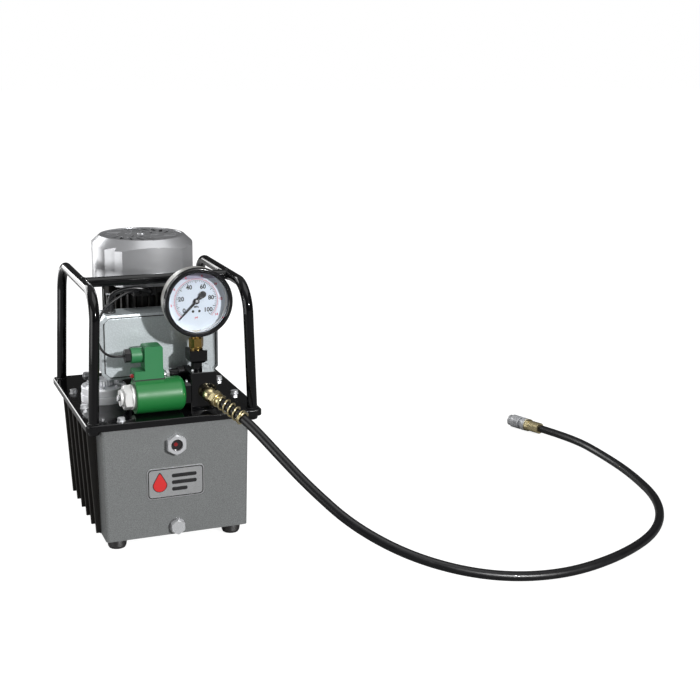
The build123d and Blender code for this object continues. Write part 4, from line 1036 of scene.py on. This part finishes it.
class POWERUNIT_OT_stage(bpy.types.Operator):
    """Plain pale floor, soft studio light and the camera"""
    bl_idname = "power_unit.stage"
    bl_label = "Stage"

    def execute(self, context):
        scene = context.scene
        settings = scene.power_unit.stage
        self.floor(settings)
        self.sun(settings)
        for name, place, aim, size, watts in (
                ("left", (-1.35, -0.45, 0.52), 0.34, 1.0, settings.side),
                ("behind", (-0.85, 1.45, 0.35), 0.40, 0.9, settings.rear),
                ("back fill", (-1.3, 2.3, 1.3), 0.2, 1.6, settings.fill),
                ("above", (0.6, -0.5, 2.4), 0.2, 1.9, settings.top)):
            self.light(name, place, aim, size, watts)
        scene.world = self.world(settings)
        scene.view_settings.view_transform = "Standard"
        self.camera(scene, settings)
        return {"FINISHED"}

    def world(self, settings):
        """White where it is looked at. As light, dim at the horizon and rising to its full strength
        overhead, so that gloss has something dark to show."""
        made = bpy.data.worlds.new("studio")
        made.use_nodes = True
        tree = made.node_tree
        tree.nodes.clear()
        height = add(tree, "SeparateXYZ", {0: add(tree, "TexCoord").outputs["Generated"]}).outputs["Z"]
        rising = scaled(tree, height, 0.35, 0.9, 0.15 * settings.sky, settings.sky)
        around = add(tree, "Background", {"Color": (1, 1, 1, 1), "Strength": rising})
        seen = add(tree, "Background", {"Color": (1, 1, 1, 1), "Strength": 1.0})
        camera = add(tree, "LightPath").outputs["Is Camera Ray"]
        both = add(tree, "MixShader", {0: camera, 1: around.outputs[0], 2: seen.outputs[0]})
        add(tree, "OutputWorld", {"Surface": both.outputs[0]})
        return made

    def floor(self, settings):
        """One flat square sheet that glows a little where the camera sees it, as a lit table does."""
        line = np.linspace(-14, 14, 15)
        x, y = np.meshgrid(line, line, indexing="ij")
        sheet, faces = grid(np.stack([x, y, 0 * x], -1), close_columns=False)
        made, tree, shader, _ = blank("floor", Base_Color=rgb(settings.floor[:]), Roughness=0.9,
                                      Emission_Color=(1, 1, 1, 1))
        camera = add(tree, "LightPath").outputs["Is Camera Ray"]
        glow = product(tree, camera, settings.glow)
        tree.links.new(glow, shader.inputs["Emission Strength"])
        mesh = bpy.data.meshes.new("floor")
        mesh.from_pydata(sheet.tolist(), [], faces)
        mesh.shade_smooth()
        mesh.materials.append(made)
        obj = bpy.data.objects.new("floor", mesh)
        bpy.context.scene.collection.objects.link(obj)

    def sun(self, settings):
        """The key light: low, from the front right, with nearly hard shadows."""
        lamp = bpy.data.lights.new("key", "SUN")
        lamp.energy = settings.key
        lamp.angle = math.radians(3)
        holder = bpy.data.objects.new("key", lamp)
        holder.rotation_euler = Vector((-0.353, 0.868, -0.349)).to_track_quat("-Z", "Y").to_euler()
        bpy.context.scene.collection.objects.link(holder)

    def light(self, name, place, aim, size, watts):
        """A square lamp that looks at the unit's middle line, at a height of aim."""
        lamp = bpy.data.lights.new(name, "AREA")
        lamp.shape = "SQUARE"
        lamp.size = size
        lamp.energy = watts
        holder = bpy.data.objects.new(name, lamp)
        holder.location = place
        toward = Vector((0.0, 0.0, aim)) - Vector(place)
        holder.rotation_euler = toward.to_track_quat("-Z", "Y").to_euler()
        bpy.context.scene.collection.objects.link(holder)

    def camera(self, scene, settings):
        """A camera turned by yaw from +Y, tilted down by pitch and rolled about its own line."""
        yaw, pitch, roll = settings.yaw, settings.pitch, settings.roll
        ahead = Vector((math.sin(yaw) * math.cos(pitch), math.cos(yaw) * math.cos(pitch),
                        -math.sin(pitch)))
        level = Vector((math.cos(yaw), -math.sin(yaw), 0))
        above = level.cross(ahead)
        right = level * math.cos(roll) + above * math.sin(roll)
        up = above * math.cos(roll) - level * math.sin(roll)
        lens = bpy.data.cameras.new("camera")
        lens.sensor_width = 36
        lens.lens = settings.lens
        lens.clip_end = 60
        holder = bpy.data.objects.new("camera", lens)
        turn = Matrix((right, up, -ahead)).transposed()
        holder.matrix_world = Matrix.Translation(settings.eye) @ turn.to_4x4()
        scene.collection.objects.link(holder)
        scene.camera = holder


STEPS = (POWERUNIT_OT_stage, POWERUNIT_OT_finishes, POWERUNIT_OT_hose, POWERUNIT_OT_cables,
         POWERUNIT_OT_gauge, POWERUNIT_OT_badge, POWERUNIT_OT_feet, POWERUNIT_OT_filler,
         POWERUNIT_OT_welds, POWERUNIT_OT_details)


class POWERUNIT_PT_panel(bpy.types.Panel):
    """The power unit's settings and steps"""
    bl_label = "Power unit"
    bl_idname = "POWERUNIT_PT_panel"
    bl_space_type = "VIEW_3D"
    bl_region_type = "UI"
    bl_category = "Power unit"

    def draw(self, context):
        settings = context.scene.power_unit
        for part in (settings.stage, settings.paint, settings.hose, settings.dial):
            column = self.layout.column(align=True)
            for name in part.__annotations__:
                column.prop(part, name)
        for step in STEPS:
            self.layout.operator(step.bl_idname)


CLASSES = (PaintSettings, HoseSettings, DialSettings, StageSettings, PowerUnitSettings, *STEPS,
           POWERUNIT_PT_panel)


def register():
    for item in CLASSES:
        bpy.utils.register_class(item)
    bpy.types.Scene.power_unit = PointerProperty(type=PowerUnitSettings)


def unregister():
    del bpy.types.Scene.power_unit
    for item in reversed(CLASSES):
        bpy.utils.unregister_class(item)


def main():
    register()
    for step in STEPS:
        getattr(bpy.ops.power_unit, step.bl_idname.split(".")[1])()


if __name__ == "__main__":
    main()
